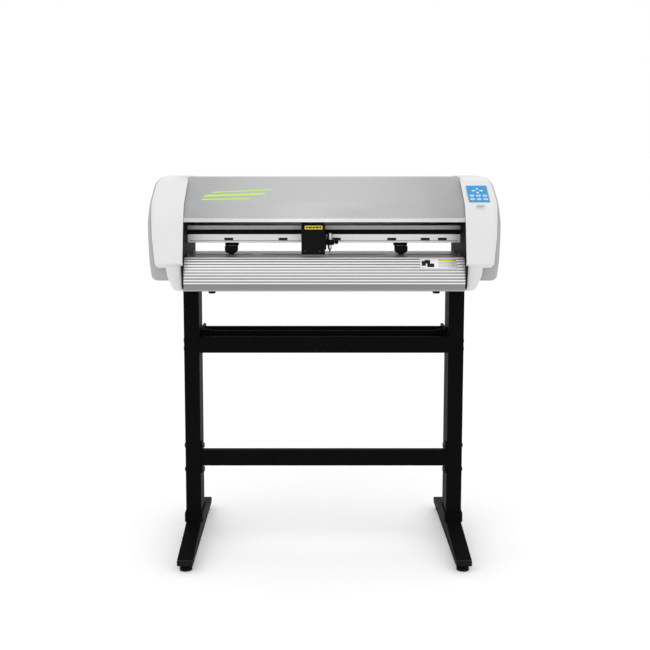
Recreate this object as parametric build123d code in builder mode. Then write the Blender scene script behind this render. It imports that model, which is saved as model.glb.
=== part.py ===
from build123d import *
import os
from math import atan2, cos, degrees, radians, sin

os.makedirs("parts", exist_ok=True)

# A roll-fed vinyl cutter on a two-post stand, in millimetres.
# +X is the operator's right, +Y runs away from the operator, +Z is up.
# The origin is on the floor, midway between the posts and between the ends of the feet.

# ---- Driving dimensions: whole object ----
stand_height = 721.0          # floor to the underside of the machine
frame_half_span = 366.0       # centre line to the inner face of a side frame
cover_depth = 98.0            # sideways depth of an end cover
foot_length = 465.0           # front to back over the plastic end caps
machine_height = 297.0        # underside of the machine to its crest

# ---- Clearances ----
touch = 0.3                   # gap between pieces that slide or turn past one another
running = 0.05                # radial clearance of a shaft in its bore
seat = 0.02                   # radial clearance of a bearing in its seat
bolt_gap = 0.3                # radial clearance of a bolt in its hole

# ---- Stand ----
post_width = 42.0
post_depth = 80.0
tube_wall = 2.0
tube_corner = 2.5
plate_corner = 4.0            # rounded corners of plates, sockets and motors
post_inset = 5.0              # post centre line inboard of the side frame face
foot_width = 41.0
foot_wall = 2.5
foot_underside = 17.0
foot_peak = 44.0              # height of the foot bar under the post
foot_tip = 15.0               # height of the foot bar at its ends
foot_flat = 45.0              # half length of the level top under the post
cap_thickness = 4.0
socket_height = 25.0
socket_wall = 3.5
socket_fit = 0.3
glide_radius = 16.5
glide_pad = 7.0
glide_chamfer = 2.0
glide_collar_radius = 7.0
glide_stud_radius = 4.0
glide_inset = 22.0
glide_travel = 10.0
beam_height = 44.0
beam_depth = 25.0
upper_beam_drop = 162.0       # upper crossbeam centre below the machine
lower_beam_z = 242.0
end_plate = 4.0
end_plate_height = 88.0
bolt_radius = 4.0
bolt_spacing = 68.0
upper_bolt_spacing = 22.0
bolt_head_radius = 7.0
head_taper = 30               # degrees, for the domed heads
lower_head_height = 3.0
upper_head_height = 1.6
nut_height = 6.0
rod_radius = 9.0
rod_journal_radius = 6.0
rod_drop = 138.0              # media rod axes below the machine
rod_front_y = 5.0
rod_rear_y = 75.0
rod_collar_radius = 12.5
rod_collar_length = 22.0
bracket_plate = 5.0
bracket_margin = 17.0
top_plate = 5.0
top_plate_width = 60.0
top_plate_depth = 120.0
machine_bolt_radius = 3.0
machine_bolt_edge = 9.0       # bolt axis in from the top plate's inner edge
machine_bolt_y = 48.0
rubber_foot_radius = 11.0
rubber_foot_height = 10.0
rubber_foot_x = 297.0
rubber_foot_front_y = -100.0
rubber_foot_rear_y = 80.0

# ---- Machine section, seen from the side: (depth, height over the machine's underside) ----
front_bottom = (-146.0, 0.0)
front_nose = (-164.5, 76.0)
front_lip = (-140.0, 181.0)
front_shoulder = (-119.5, 227.0)
front_crest = (-12.7, machine_height)
rear_y = 116.0
rear_foot_height = 40.0
rear_foot_y = 100.0
rear_step = 4.0               # tray flange behind the rear foot of the section
bottom_radius = 14.0
nose_radius = 40.0
lip_radius = 80.0
shoulder_radius = 30.0
crest_radius = 8.0
rear_radius = 16.0
panel_step = 28.0             # how far the flank of an end cover sits behind its front panel

cover_wall = 3.0
frame_plate = 5.0
frame_margin = 5.0            # side frame outline inside the cover outline
sheet = 2.0
sheet_step = 1.5              # top cover surface below the end cover surface
hem_depth = 5.0
hem_height = 11.0
rear_gap_height = 130.0       # lower edge of the top cover at the back

# ---- Front outline of an end cover: widths from the side frame, heights over the underside ----
panel_top_width = 88.0
panel_mid_width = 80.0
panel_bottom_width = 67.0
panel_bottom_height = 63.0
flank_top_width = 94.0
flank_low_width = 90.0
flank_low_height = 25.0
nose_block_width = 47.0
nose_block_height = 80.0
nose_mid_width = 43.0
nose_corner_width = 26.0

# ---- Media path ----
platen_height = 87.0
platen_thickness = 4.0
platen_front_y = -122.0
platen_rear_y = 10.0
knife_line_y = -77.0
knife_groove = 3.0
feed_axis_y = -36.0
feed_axis_drop = 11.0         # feed shaft axis below the platen surface
grit_proud = 0.3
grit_length = 150.0
grit_pitch = 180.0
grit_count = 4
grit_clearance = 1.0
shaft_radius = 6.0
bearing_radius = 14.0
bearing_width = 8.0
apron_nose_y = -148.0
apron_nose_height = 24.0
apron_foot_y = -144.0
apron_foot_height = 5.0
apron_thickness = 3.0
flute_count = 9
flute_width = 2.2
flute_depth = 1.3
tray_flange = 20.0
guide_bend = 30.0             # bend radius of the rear guide

# ---- Guide rail and belt ----
rail_front_y = -50.0
rail_rear_y = -10.0
rail_bottom = 120.0           # rail underside over the machine's underside
rail_height = 47.0
channel_bottom = 143.0
channel_height = 12.0
channel_depth = 10.0
pulley_y = -36.5
small_pulley_radius = 8.0
large_pulley_radius = 24.0
flange_rim = 2.0
flange_thickness = 1.0
motor_shaft_radius = 2.5
carriage_belt_width = 8.0
carriage_belt_thickness = 1.2
feed_belt_width = 10.0
feed_belt_thickness = 1.5
pulley_face = 11.0
carriage_pulley_offset = 34.0 # pulley axis outboard of the side frame face, left
idler_offset = 24.0           # idler axis outboard of the side frame face, right
shelf_drop = 4.0              # shelf top below the belt channel
shelf_thickness = 3.0
shelf_end = 10.0              # idler shelf outboard of the idler axis
shelf_width = 30.0
idler_pin_radius = 3.0
feed_pulley_offset = 12.0     # inner flange of the feed pulleys outboard of the frame face
feed_motor_y = 30.0
feed_motor_height = 40.0
motor_size = 42.0
feed_motor_length = 40.0
carriage_motor_length = 44.0
motor_bore_depth = 10.0

# ---- Carriage and tool ----
carriage_x = -29.0
carriage_width = 62.0
carriage_front_y = -125.0
carriage_bottom = 95.0
carriage_top = 174.0
carriage_wall = 2.5
hook_thickness = 5.0
hook_lip = 4.0
hook_drop = 7.0
clip_length = 20.0
holder_x = 15.0
holder_radius = 5.75
holder_top_radius = 6.5
holder_collar_radius = 7.5
holder_tip = 94.0
holder_shoulder = 103.0
holder_top = 148.0
clamp_bottom = 117.0
clamp_height = 14.0
clamp_reach = 12.0
slide_plate = 3.5
slide_plate_width = 36.0
slide_bottom = 105.0
slide_height = 45.0
knob_radius = 5.5
knob_length = 10.0
knob_stud_radius = 2.0
knob_stud_length = 5.0

# ---- Pinch rollers ----
left_pinch_x = -250.0
right_pinch_x = 208.0
pinch_half_width = 18.0
pinch_wheel_radius = 8.0
pinch_wheel_width = 14.0
pinch_axle_radius = 2.0
pinch_pivot_y = -12.0
pinch_pivot_drop = 4.0        # pivot below the top of the arm
pinch_lift_room = 3.0         # space over the arm, into which it lifts
pinch_block_front_y = -27.0
pinch_block_rear_y = -4.0
tee_y = -22.0
tee_neck = 8.0
tee_neck_height = 4.0
tee_head = 16.0
tee_head_height = 6.0
hood_half_width = 16.0
hood_front_y = -47.0
hood_clear = 4.0              # underside of the arm's hood above the platen
hood_roof = 2.8
arm_half_width = 10.0
arm_thickness = 8.0
arm_rear_y = -7.5
ear_thickness = 4.7
ear_width = 10.0
ear_below_pivot = 4.0

# ---- Keypad ----
keypad_width = 54.0
keypad_length = 74.0
keypad_thickness = 1.6
keypad_recess = 1.0
keypad_from_frame = 40.0      # keypad centre outboard of the side frame face
keypad_up_slope = 46.0        # keypad centre above the shoulder, along the slope
keypad_ledge = 2.0
key_gap = 0.25
key_proud = 0.8
key_depth = 2.8
arrow_centre = 12.5
arrow_side_pitch = 10.0
arrow_up_pitch = 8.5
arrow_long = 5.2
arrow_short = 3.4
function_pitch = 17.2
function_rows = (-10.0, -25.5)
function_long = 6.2
function_short = 4.2

# ---- Electrics ----
board_size = (100.0, 90.0)
board_thickness = 1.6
board_spacer = 6.0
board_y = 40.0
board_height = 220.0
supply_size = (40.0, 90.0, 105.0)
supply_y = 55.0
supply_height = 218.0
inlet_offset = 49.0           # inlet centre outboard of the side frame face
inlet_height = 115.0
inlet_flange = (32.0, 62.0)
inlet_body = (27.0, 52.0)
inlet_flange_thickness = 3.0
inlet_depth = 24.0
socket_opening = (24.0, 16.5)
socket_depth = 15.0
socket_drop = 12.0
rocker_rise = 14.0
rocker_radius = 7.0
rocker_width = 20.0
rocker_flat = 5.0
rocker_pin_radius = 1.5
rocker_pin_length = 1.5
rocker_tilt = 8.0

# ---- Derived places ----
post_x = frame_half_span - post_inset
post_inner_x = post_x - post_width / 2
post_outer_x = post_x + post_width / 2
machine_bolt_x = post_outer_x - top_plate_width + machine_bolt_edge
foot_top = foot_underside + foot_peak
foot_half = foot_length / 2 - cap_thickness
beam_y = -post_depth / 2 + beam_depth / 2
upper_beam_z = stand_height - upper_beam_drop
rod_z = stand_height - rod_drop
glide_y = foot_length / 2 - glide_inset
cap_plug = foot_half - glide_y - glide_collar_radius - 1
platen_z = stand_height + platen_height
feed_axis_z = platen_z - feed_axis_drop
grit_radius = feed_axis_drop + grit_proud
rail_z = stand_height + rail_bottom
channel_z = stand_height + channel_bottom
belt_z = channel_z + channel_height / 2
shelf_z = channel_z - shelf_drop
pulley_low_z = belt_z - pulley_face / 2
wheel_z = platen_z + grit_proud + touch + pinch_wheel_radius
hood_top_z = wheel_z + pinch_wheel_radius + 2 * touch + hood_roof
hood_low_z = platen_z + hood_clear
pinch_pivot_z = hood_top_z - pinch_pivot_drop
block_bottom_z = hood_top_z + pinch_lift_room
slope = atan2(front_crest[1] - front_shoulder[1], front_crest[0] - front_shoulder[0])
side_outline = [
    front_bottom,
    front_nose,
    front_lip,
    front_shoulder,
    front_crest,
    (rear_y, machine_height),
    (rear_y, rear_foot_height),
    (rear_foot_y, 0.0),
]
side_radii = [
    bottom_radius,
    nose_radius,
    lip_radius,
    shoulder_radius,
    crest_radius,
    rear_radius,
    bottom_radius,
    crest_radius,
]


def lifted(points):
    """Section points moved from heights over the underside to heights over the floor."""
    return [(y, stand_height + height) for y, height in points]


def side_section(inset=0.0):
    """Closed outline of the whole machine section, shrunk by inset."""
    with BuildSketch() as section:
        with BuildLine():
            FilletPolyline(*lifted(side_outline), radius=side_radii, close=True)
        make_face()
        if inset:
            offset(amount=-inset, mode=Mode.REPLACE)
    return section.sketch


def flank_section(inset=0.0):
    """The machine section with its front set back, for the flank behind the front panel."""
    with BuildSketch() as section:
        add(side_section(inset))
        with Locations((panel_step, 0)):
            add(side_section(inset), mode=Mode.INTERSECT)
    return section.sketch


def cover_block(section, points, radii, inset):
    """One block of an end cover: a side section cut to a front outline."""
    with BuildPart() as block:
        with BuildSketch(Plane.YZ.offset(frame_half_span)):
            add(section)
        extrude(amount=cover_depth + cover_wall)
        with BuildSketch(Plane.XZ.offset(-rear_y - cover_wall)):
            with BuildLine():
                FilletPolyline(*points, radius=radii, close=True)
            make_face()
            if inset:
                offset(amount=-inset, mode=Mode.REPLACE)
        extrude(amount=rear_y - front_nose[0] + 2 * cover_wall, mode=Mode.INTERSECT)
    return block.part


def front_points(points):
    """Front outline points, from widths outboard of the side frame face."""
    return [(frame_half_span + x, stand_height + height) for x, height in points]


inside = -4 * cover_wall      # outlines run past the open side, so that an inset leaves it open
panel_points = front_points([
    (inside, panel_bottom_height),
    (panel_bottom_width, panel_bottom_height),
    (panel_mid_width, front_lip[1] - nose_block_height / 2),
    (panel_top_width, front_shoulder[1]),
    (panel_top_width - panel_bottom_height / 20, machine_height),
    (inside, machine_height),
])
panel_radii = [0, 14.0, 120.0, 60.0, 25.0, 0]
flank_points = front_points([
    (inside, flank_low_height),
    (flank_low_width, flank_low_height),
    (cover_depth, front_lip[1] - nose_block_height / 2),
    (cover_depth, front_lip[1]),
    (flank_top_width, machine_height),
    (inside, machine_height),
])
flank_radii = [0, 16.0, 200.0, 120.0, 28.0, 0]
nose_points = front_points([
    (inside, 0.0),
    (nose_corner_width, 0.0),
    (nose_mid_width, nose_block_height / 2),
    (nose_block_width, nose_block_height),
    (inside, nose_block_height),
])
nose_radii = [0, 14.0, 60.0, 0, 0]


# ================================ Stand ================================

with BuildPart() as right_post:
    with BuildSketch(Plane.XY.offset(foot_top)):
        with Locations((post_x, 0)):
            RectangleRounded(post_width, post_depth, tube_corner)
            RectangleRounded(
                post_width - 2 * tube_wall,
                post_depth - 2 * tube_wall,
                tube_corner / 2,
                mode=Mode.SUBTRACT,
            )
    extrude(amount=stand_height - top_plate - foot_top)
    with BuildSketch(Plane.XY.offset(stand_height - top_plate)):
        with Locations((post_outer_x - top_plate_width / 2, 0)):
            RectangleRounded(top_plate_width, top_plate_depth, plate_corner)
    extrude(amount=top_plate)
    with BuildSketch(Plane.XY.offset(stand_height - top_plate)):
        with Locations(
            (machine_bolt_x, machine_bolt_y),
            (machine_bolt_x, -machine_bolt_y),
        ):
            Circle(machine_bolt_radius + bolt_gap)
    extrude(amount=top_plate, mode=Mode.SUBTRACT)
    with BuildSketch(Plane.YZ.offset(post_inner_x - 1)):
        with Locations(
            (beam_y, lower_beam_z + bolt_spacing / 2),
            (beam_y, lower_beam_z - bolt_spacing / 2),
            (beam_y, upper_beam_z + upper_bolt_spacing / 2),
            (beam_y, upper_beam_z - upper_bolt_spacing / 2),
        ):
            Circle(bolt_radius + bolt_gap)
    extrude(amount=post_width + 2, mode=Mode.SUBTRACT)
right_post.part.label = "right_post"
export_step(right_post.part, "parts/right_post.step")

with BuildPart() as left_post:
    add(mirror(right_post.part, about=Plane.YZ))
left_post.part.label = "left_post"
export_step(left_post.part, "parts/left_post.step")


def foot_outline(half_length):
    """Side view of the gabled foot bar, corner by corner."""
    tip_top = foot_underside + foot_tip
    return [
        (-half_length, foot_underside),
        (half_length, foot_underside),
        (half_length, tip_top),
        (foot_flat, foot_top),
        (-foot_flat, foot_top),
        (-half_length, tip_top),
    ]


with BuildPart() as right_foot:
    with BuildSketch(Plane.YZ.offset(post_x - foot_width / 2)):
        Polygon(*foot_outline(foot_half), align=None)
    extrude(amount=foot_width)
    with BuildSketch(Plane.YZ.offset(post_x - foot_width / 2 + foot_wall)):
        Polygon(*foot_outline(foot_half), align=None)
        offset(amount=-foot_wall, mode=Mode.REPLACE)
        with Locations((0, foot_underside + foot_tip / 2)):
            Rectangle(2 * foot_half, foot_tip - 2 * foot_wall)
    extrude(amount=foot_width - 2 * foot_wall, mode=Mode.SUBTRACT)
    with BuildSketch(Plane.XY.offset(foot_top)):
        with Locations((post_x, 0)):
            RectangleRounded(
                post_width + 2 * (socket_fit + socket_wall),
                post_depth + 2 * (socket_fit + socket_wall),
                plate_corner,
            )
            RectangleRounded(
                post_width + 2 * socket_fit,
                post_depth + 2 * socket_fit,
                tube_corner + socket_fit,
                mode=Mode.SUBTRACT,
            )
    extrude(amount=socket_height)
    with BuildSketch(Plane.XY.offset(foot_underside + foot_wall)):
        with Locations((post_x, glide_y), (post_x, -glide_y)):
            Circle(glide_collar_radius)
    extrude(amount=glide_collar_radius - 1)
    with BuildSketch(Plane.XY.offset(foot_underside)):
        with Locations((post_x, glide_y), (post_x, -glide_y)):
            Circle(glide_stud_radius + running)
    extrude(amount=foot_wall + glide_collar_radius, mode=Mode.SUBTRACT)
right_foot.part.label = "right_foot"
export_step(right_foot.part, "parts/right_foot.step")

with BuildPart() as left_foot:
    add(mirror(right_foot.part, about=Plane.YZ))
left_foot.part.label = "left_foot"
export_step(left_foot.part, "parts/left_foot.step")

with BuildPart() as foot_end_caps:
    with BuildSketch(Plane.XZ.offset(foot_half)):
        with Locations((post_x, foot_underside + foot_tip / 2)):
            RectangleRounded(foot_width, foot_tip, tube_corner)
    extrude(amount=cap_thickness)
    with BuildSketch(Plane.XZ.offset(foot_half - cap_plug)):
        with Locations((post_x, foot_underside + foot_tip / 2)):
            RectangleRounded(
                foot_width - 2 * (foot_wall + touch),
                foot_tip - 2 * (foot_wall + touch),
                tube_corner - 1,
            )
    extrude(amount=cap_plug)
    mirror(about=Plane.XZ)
    mirror(about=Plane.YZ)
foot_end_caps.part.label = "foot_end_caps"
export_step(foot_end_caps.part, "parts/foot_end_caps.step")

glide_places = {
    "glide_front_left": (-post_x, -glide_y),
    "glide_front_right": (post_x, -glide_y),
    "glide_rear_left": (-post_x, glide_y),
    "glide_rear_right": (post_x, glide_y),
}
for glide_name, glide_place in glide_places.items():
    with BuildPart() as glide:
        with BuildSketch():
            with Locations(glide_place):
                Circle(glide_radius)
        extrude(amount=glide_pad)
        chamfer(glide.edges().group_by(Axis.Z)[-1], length=glide_chamfer)
        with BuildSketch(Plane.XY.offset(glide_pad)):
            with Locations(glide_place):
                RegularPolygon(glide_collar_radius, 6)
        extrude(amount=foot_underside - glide_pad)
        with BuildSketch(Plane.XY.offset(foot_underside)):
            with Locations(glide_place):
                Circle(glide_stud_radius)
        extrude(amount=glide_travel + foot_wall + running)
    glide.part.label = glide_name
    export_step(glide.part, f"parts/{glide_name}.step")

beam_half = post_inner_x - end_plate
with BuildPart() as upper_crossbeam:
    with BuildSketch(Plane.YZ.offset(-post_inner_x)):
        with Locations((beam_y, upper_beam_z)):
            RectangleRounded(beam_depth, beam_height, plate_corner)
    extrude(amount=2 * post_inner_x)
    with BuildSketch(Plane.YZ.offset(-beam_half)):
        with Locations((beam_y, upper_beam_z)):
            RectangleRounded(
                beam_depth - 2 * tube_wall,
                beam_height - 2 * tube_wall,
                plate_corner - tube_wall,
            )
    extrude(amount=2 * beam_half, mode=Mode.SUBTRACT)
    with BuildSketch(Plane.YZ.offset(-post_inner_x)):
        with Locations(
            (beam_y, upper_beam_z + upper_bolt_spacing / 2),
            (beam_y, upper_beam_z - upper_bolt_spacing / 2),
        ):
            Circle(bolt_radius + running)
    extrude(amount=2 * post_inner_x, mode=Mode.SUBTRACT)
upper_crossbeam.part.label = "upper_crossbeam"
export_step(upper_crossbeam.part, "parts/upper_crossbeam.step")

with BuildPart() as lower_crossbeam:
    with BuildSketch(Plane.YZ.offset(-beam_half)):
        with Locations((beam_y, lower_beam_z)):
            RectangleRounded(beam_depth, beam_height, plate_corner)
            RectangleRounded(
                beam_depth - 2 * tube_wall,
                beam_height - 2 * tube_wall,
                plate_corner - tube_wall,
                mode=Mode.SUBTRACT,
            )
    extrude(amount=2 * beam_half)
    for plate_x in (-post_inner_x, beam_half):
        with BuildSketch(Plane.YZ.offset(plate_x)):
            with Locations((beam_y, lower_beam_z)):
                RectangleRounded(beam_depth, end_plate_height, plate_corner + 1)
            with Locations(
                (beam_y, lower_beam_z + bolt_spacing / 2),
                (beam_y, lower_beam_z - bolt_spacing / 2),
            ):
                Circle(bolt_radius + bolt_gap, mode=Mode.SUBTRACT)
        extrude(amount=end_plate)
lower_crossbeam.part.label = "lower_crossbeam"
export_step(lower_crossbeam.part, "parts/lower_crossbeam.step")

bracket_inner_x = post_inner_x - bracket_plate
rod_half = bracket_inner_x - touch


def media_rod(rod_y, collar):
    """A plain roll-support rod with a turned-down journal at each end."""
    with BuildPart() as rod:
        with BuildSketch(Plane.YZ.offset(-rod_half)):
            with Locations((rod_y, rod_z)):
                Circle(rod_radius)
        extrude(amount=2 * rod_half)
        with BuildSketch(Plane.YZ.offset(-post_inner_x + touch)):
            with Locations((rod_y, rod_z)):
                Circle(rod_journal_radius)
        extrude(amount=2 * (post_inner_x - touch))
        if collar:
            for collar_x in (-rod_half, rod_half - rod_collar_length):
                with BuildSketch(Plane.YZ.offset(collar_x)):
                    with Locations((rod_y, rod_z)):
                        Circle(rod_collar_radius)
                extrude(amount=rod_collar_length)
    return rod.part


with BuildPart() as media_rod_front:
    add(media_rod(rod_front_y, collar=True))
media_rod_front.part.label = "media_rod_front"
export_step(media_rod_front.part, "parts/media_rod_front.step")

with BuildPart() as media_rod_rear:
    add(media_rod(rod_rear_y, collar=False))
media_rod_rear.part.label = "media_rod_rear"
export_step(media_rod_rear.part, "parts/media_rod_rear.step")

with BuildPart() as rod_brackets:
    with BuildSketch(Plane.YZ.offset(bracket_inner_x)):
        with Locations(((rod_front_y + rod_rear_y) / 2, rod_z)):
            RectangleRounded(
                rod_rear_y - rod_front_y + 2 * bracket_margin,
                2 * bracket_margin,
                bracket_margin - 1,
            )
        with Locations((rod_front_y, rod_z), (rod_rear_y, rod_z)):
            Circle(rod_journal_radius + running, mode=Mode.SUBTRACT)
    extrude(amount=bracket_plate)
    mirror(about=Plane.YZ)
rod_brackets.part.label = "rod_brackets"
export_step(rod_brackets.part, "parts/rod_brackets.step")

with BuildPart() as stand_bolts:
    for bolt_z in (lower_beam_z + bolt_spacing / 2, lower_beam_z - bolt_spacing / 2):
        with BuildSketch(Plane.YZ.offset(beam_half - nut_height)):
            with Locations((beam_y, bolt_z)):
                RegularPolygon(bolt_head_radius, 6)
        extrude(amount=nut_height)
        with BuildSketch(Plane.YZ.offset(beam_half - nut_height)):
            with Locations((beam_y, bolt_z)):
                Circle(bolt_radius)
        extrude(amount=post_outer_x - beam_half + nut_height)
        with BuildSketch(Plane.YZ.offset(post_outer_x)):
            with Locations((beam_y, bolt_z)):
                Circle(bolt_head_radius)
        extrude(amount=lower_head_height, taper=head_taper)
    for bolt_z in (
        upper_beam_z + upper_bolt_spacing / 2,
        upper_beam_z - upper_bolt_spacing / 2,
    ):
        with BuildSketch(Plane.YZ.offset(beam_half)):
            with Locations((beam_y, bolt_z)):
                Circle(bolt_radius)
        extrude(amount=post_outer_x - beam_half)
        with BuildSketch(Plane.YZ.offset(post_outer_x)):
            with Locations((beam_y, bolt_z)):
                Circle(bolt_head_radius)
        extrude(amount=upper_head_height, taper=head_taper)
    for bolt_y in (machine_bolt_y, -machine_bolt_y):
        bolt_place = (machine_bolt_x, bolt_y)
        with BuildSketch(Plane.XY.offset(stand_height - top_plate - machine_bolt_radius)):
            with Locations(bolt_place):
                RegularPolygon(2 * machine_bolt_radius, 6)
        extrude(amount=machine_bolt_radius)
        with BuildSketch(Plane.XY.offset(stand_height - top_plate)):
            with Locations(bolt_place):
                Circle(machine_bolt_radius)
        extrude(amount=top_plate + sheet + machine_bolt_radius)
    mirror(about=Plane.YZ)
stand_bolts.part.label = "stand_bolts"
export_step(stand_bolts.part, "parts/stand_bolts.step")

# ============================ Machine shell ============================


def bent_strip(x_from, length, points, radii, thickness):
    """A sheet of constant thickness bent along a path in the side view."""
    with BuildPart() as strip:
        with BuildSketch(Plane.YZ.offset(x_from)):
            with BuildLine():
                FilletPolyline(*lifted(points), radius=radii)
                offset(amount=thickness, side=Side.LEFT)
            make_face()
        extrude(amount=length)
    return strip.part


tray_front_y = apron_foot_y + apron_thickness
tray_rear_y = rear_foot_y + rear_step
with BuildPart() as base_tray:
    add(
        bent_strip(
            -frame_half_span,
            2 * frame_half_span,
            [
                (tray_front_y, tray_flange),
                (tray_front_y, 0.0),
                (tray_rear_y, 0.0),
                (tray_rear_y, tray_flange),
            ],
            [plate_corner, plate_corner],
            sheet,
        )
    )
    with BuildSketch(Plane.XY.offset(stand_height)):
        for side in (-1, 1):
            with Locations(
                (side * machine_bolt_x, machine_bolt_y),
                (side * machine_bolt_x, -machine_bolt_y),
            ):
                Circle(machine_bolt_radius + bolt_gap)
    extrude(amount=sheet, mode=Mode.SUBTRACT)
base_tray.part.label = "base_tray"
export_step(base_tray.part, "parts/base_tray.step")

with BuildPart() as machine_feet:
    with BuildSketch(Plane.XY.offset(stand_height)):
        for side in (-1, 1):
            with Locations(
                (side * rubber_foot_x, rubber_foot_front_y),
                (side * rubber_foot_x, rubber_foot_rear_y),
            ):
                Circle(rubber_foot_radius)
    extrude(amount=-rubber_foot_height, taper=12)
machine_feet.part.label = "machine_feet"
export_step(machine_feet.part, "parts/machine_feet.step")

with BuildPart() as side_frames:
    with BuildSketch(Plane.YZ.offset(frame_half_span)):
        add(side_section(frame_margin))
        with Locations((feed_axis_y, feed_axis_z)):
            Circle(bearing_radius + seat, mode=Mode.SUBTRACT)
        with Locations((pulley_y, belt_z)):
            Rectangle(2 * small_pulley_radius + 9, channel_height + 4, mode=Mode.SUBTRACT)
    extrude(amount=frame_plate)
    mirror(about=Plane.YZ)
    frame_outer_x = frame_half_span + frame_plate
    with BuildSketch(Plane.YZ.offset(frame_half_span)):
        with Locations((feed_motor_y, stand_height + feed_motor_height)):
            Circle(2 * motor_shaft_radius)
    extrude(amount=frame_plate, mode=Mode.SUBTRACT)
    idler_x = frame_half_span + idler_offset
    with BuildSketch(Plane.XY.offset(shelf_z - shelf_thickness)):
        with Locations(((frame_outer_x + idler_x + shelf_end) / 2, pulley_y)):
            Rectangle(idler_x + shelf_end - frame_outer_x, shelf_width)
    extrude(amount=shelf_thickness)
    with BuildSketch(Plane.XY.offset(shelf_z)):
        with Locations((idler_x, pulley_y)):
            Circle(idler_pin_radius + 2)
    extrude(amount=pulley_low_z - flange_thickness - touch - shelf_z)
    with BuildSketch(Plane.XY.offset(shelf_z)):
        with Locations((idler_x, pulley_y)):
            Circle(idler_pin_radius)
    extrude(amount=pulley_low_z + pulley_face + 2 * flange_thickness - shelf_z)
    motor_x = -frame_half_span - carriage_pulley_offset
    with BuildSketch(Plane.XY.offset(shelf_z - shelf_thickness)):
        with Locations(((-frame_outer_x + motor_x - motor_size / 2) / 2, pulley_y)):
            Rectangle(-frame_outer_x - motor_x + motor_size / 2, motor_size)
        with Locations((motor_x, pulley_y)):
            Circle(2 * motor_shaft_radius, mode=Mode.SUBTRACT)
    extrude(amount=shelf_thickness)
side_frames.part.label = "side_frames"
export_step(side_frames.part, "parts/side_frames.step")

with BuildPart() as top_cover:
    with BuildSketch(Plane.YZ.offset(-frame_half_span)) as cover_sheet:
        add(side_section(sheet_step))
        add(side_section(sheet_step + sheet), mode=Mode.SUBTRACT)
        with BuildLine():
            Polyline(
                *lifted([
                    (front_nose[0], front_lip[1]),
                    (platen_rear_y, front_lip[1]),
                    (platen_rear_y, rear_gap_height),
                    (rear_y, rear_gap_height),
                    (rear_y, machine_height),
                    (front_nose[0], machine_height),
                ]),
                close=True,
            )
        make_face(mode=Mode.INTERSECT)
    extrude(amount=2 * frame_half_span)
    with BuildSketch(Plane.YZ.offset(-frame_half_span)):
        add(side_section(sheet_step))
        add(side_section(sheet_step + hem_depth), mode=Mode.SUBTRACT)
        with Locations((front_lip[0], stand_height + front_lip[1] + hem_height / 2)):
            Rectangle(4 * hem_height, hem_height, mode=Mode.INTERSECT)
    extrude(amount=2 * frame_half_span)
top_cover.part.label = "top_cover"
export_step(top_cover.part, "parts/top_cover.step")

with BuildPart() as right_cover_blank:
    add(cover_block(side_section(), panel_points, panel_radii, 0))
    add(cover_block(flank_section(), flank_points, flank_radii, 0))
    add(cover_block(side_section(), nose_points, nose_radii, 0))
    hollow = side_section(cover_wall)
    add(cover_block(hollow, panel_points, panel_radii, cover_wall), mode=Mode.SUBTRACT)
    add(
        cover_block(flank_section(cover_wall), flank_points, flank_radii, cover_wall),
        mode=Mode.SUBTRACT,
    )
    add(cover_block(hollow, nose_points, nose_radii, cover_wall), mode=Mode.SUBTRACT)

slope_along = keypad_up_slope
keypad_plane = Plane(
    origin=(
        frame_half_span + keypad_from_frame,
        front_shoulder[0] + slope_along * cos(slope),
        stand_height + front_shoulder[1] + slope_along * sin(slope),
    ),
    x_dir=(1, 0, 0),
    z_dir=(0, -sin(slope), cos(slope)),
)
with BuildPart() as right_end_cover:
    add(right_cover_blank.part)
    with BuildSketch(keypad_plane):
        Rectangle(keypad_width + 2 * key_gap, keypad_length + 2 * key_gap)
    extrude(amount=-keypad_recess, mode=Mode.SUBTRACT)
    with BuildSketch(keypad_plane):
        Rectangle(keypad_width - 2 * keypad_ledge, keypad_length - 2 * keypad_ledge)
    extrude(amount=-3 * cover_wall, mode=Mode.SUBTRACT)
right_end_cover.part.label = "right_end_cover"
export_step(right_end_cover.part, "parts/right_end_cover.step")

inlet_x = -frame_half_span - inlet_offset
inlet_z = stand_height + inlet_height
with BuildPart() as left_end_cover:
    add(mirror(right_cover_blank.part, about=Plane.YZ))
    with BuildSketch(Plane.XZ.offset(-rear_y)):
        with Locations((inlet_x, inlet_z)):
            Rectangle(inlet_body[0] + 2 * touch, inlet_body[1] + 2 * touch)
    extrude(amount=2 * cover_wall, mode=Mode.SUBTRACT)
left_end_cover.part.label = "left_end_cover"
export_step(left_end_cover.part, "parts/left_end_cover.step")

# ============================== Media path ==============================

# The apron's face is an arc that leaves the platen edge and ends upright at its nose.
apron_rise = platen_height - apron_nose_height
apron_run = platen_front_y - apron_nose_y
apron_radius = (apron_rise ** 2 + apron_run ** 2) / (2 * apron_run)
apron_centre = (apron_nose_y + apron_radius, stand_height + apron_nose_height)
apron_turn = degrees(atan2(apron_rise, apron_radius - apron_run))
platen_edge_y = platen_front_y + apron_thickness * cos(radians(apron_turn))
grit_centres = [
    (index - (grit_count - 1) / 2) * grit_pitch for index in range(grit_count)
]
with BuildPart() as platen:
    with BuildSketch(Plane.XY.offset(platen_z - platen_thickness)):
        with Locations((0, (platen_edge_y + platen_rear_y) / 2)):
            Rectangle(2 * frame_half_span, platen_rear_y - platen_edge_y)
    extrude(amount=platen_thickness)
    with BuildSketch(Plane.XY.offset(platen_z - platen_thickness)):
        for grit_x in grit_centres:
            with Locations((grit_x, feed_axis_y)):
                Rectangle(grit_length + 2 * grit_clearance, 2 * (grit_radius - 1))
    extrude(amount=platen_thickness, mode=Mode.SUBTRACT)
    with BuildSketch(Plane.YZ.offset(-frame_half_span)):
        with Locations((knife_line_y, platen_z)):
            Rectangle(knife_groove, knife_groove)
    extrude(amount=2 * frame_half_span, mode=Mode.SUBTRACT)
platen.part.label = "platen"
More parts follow.
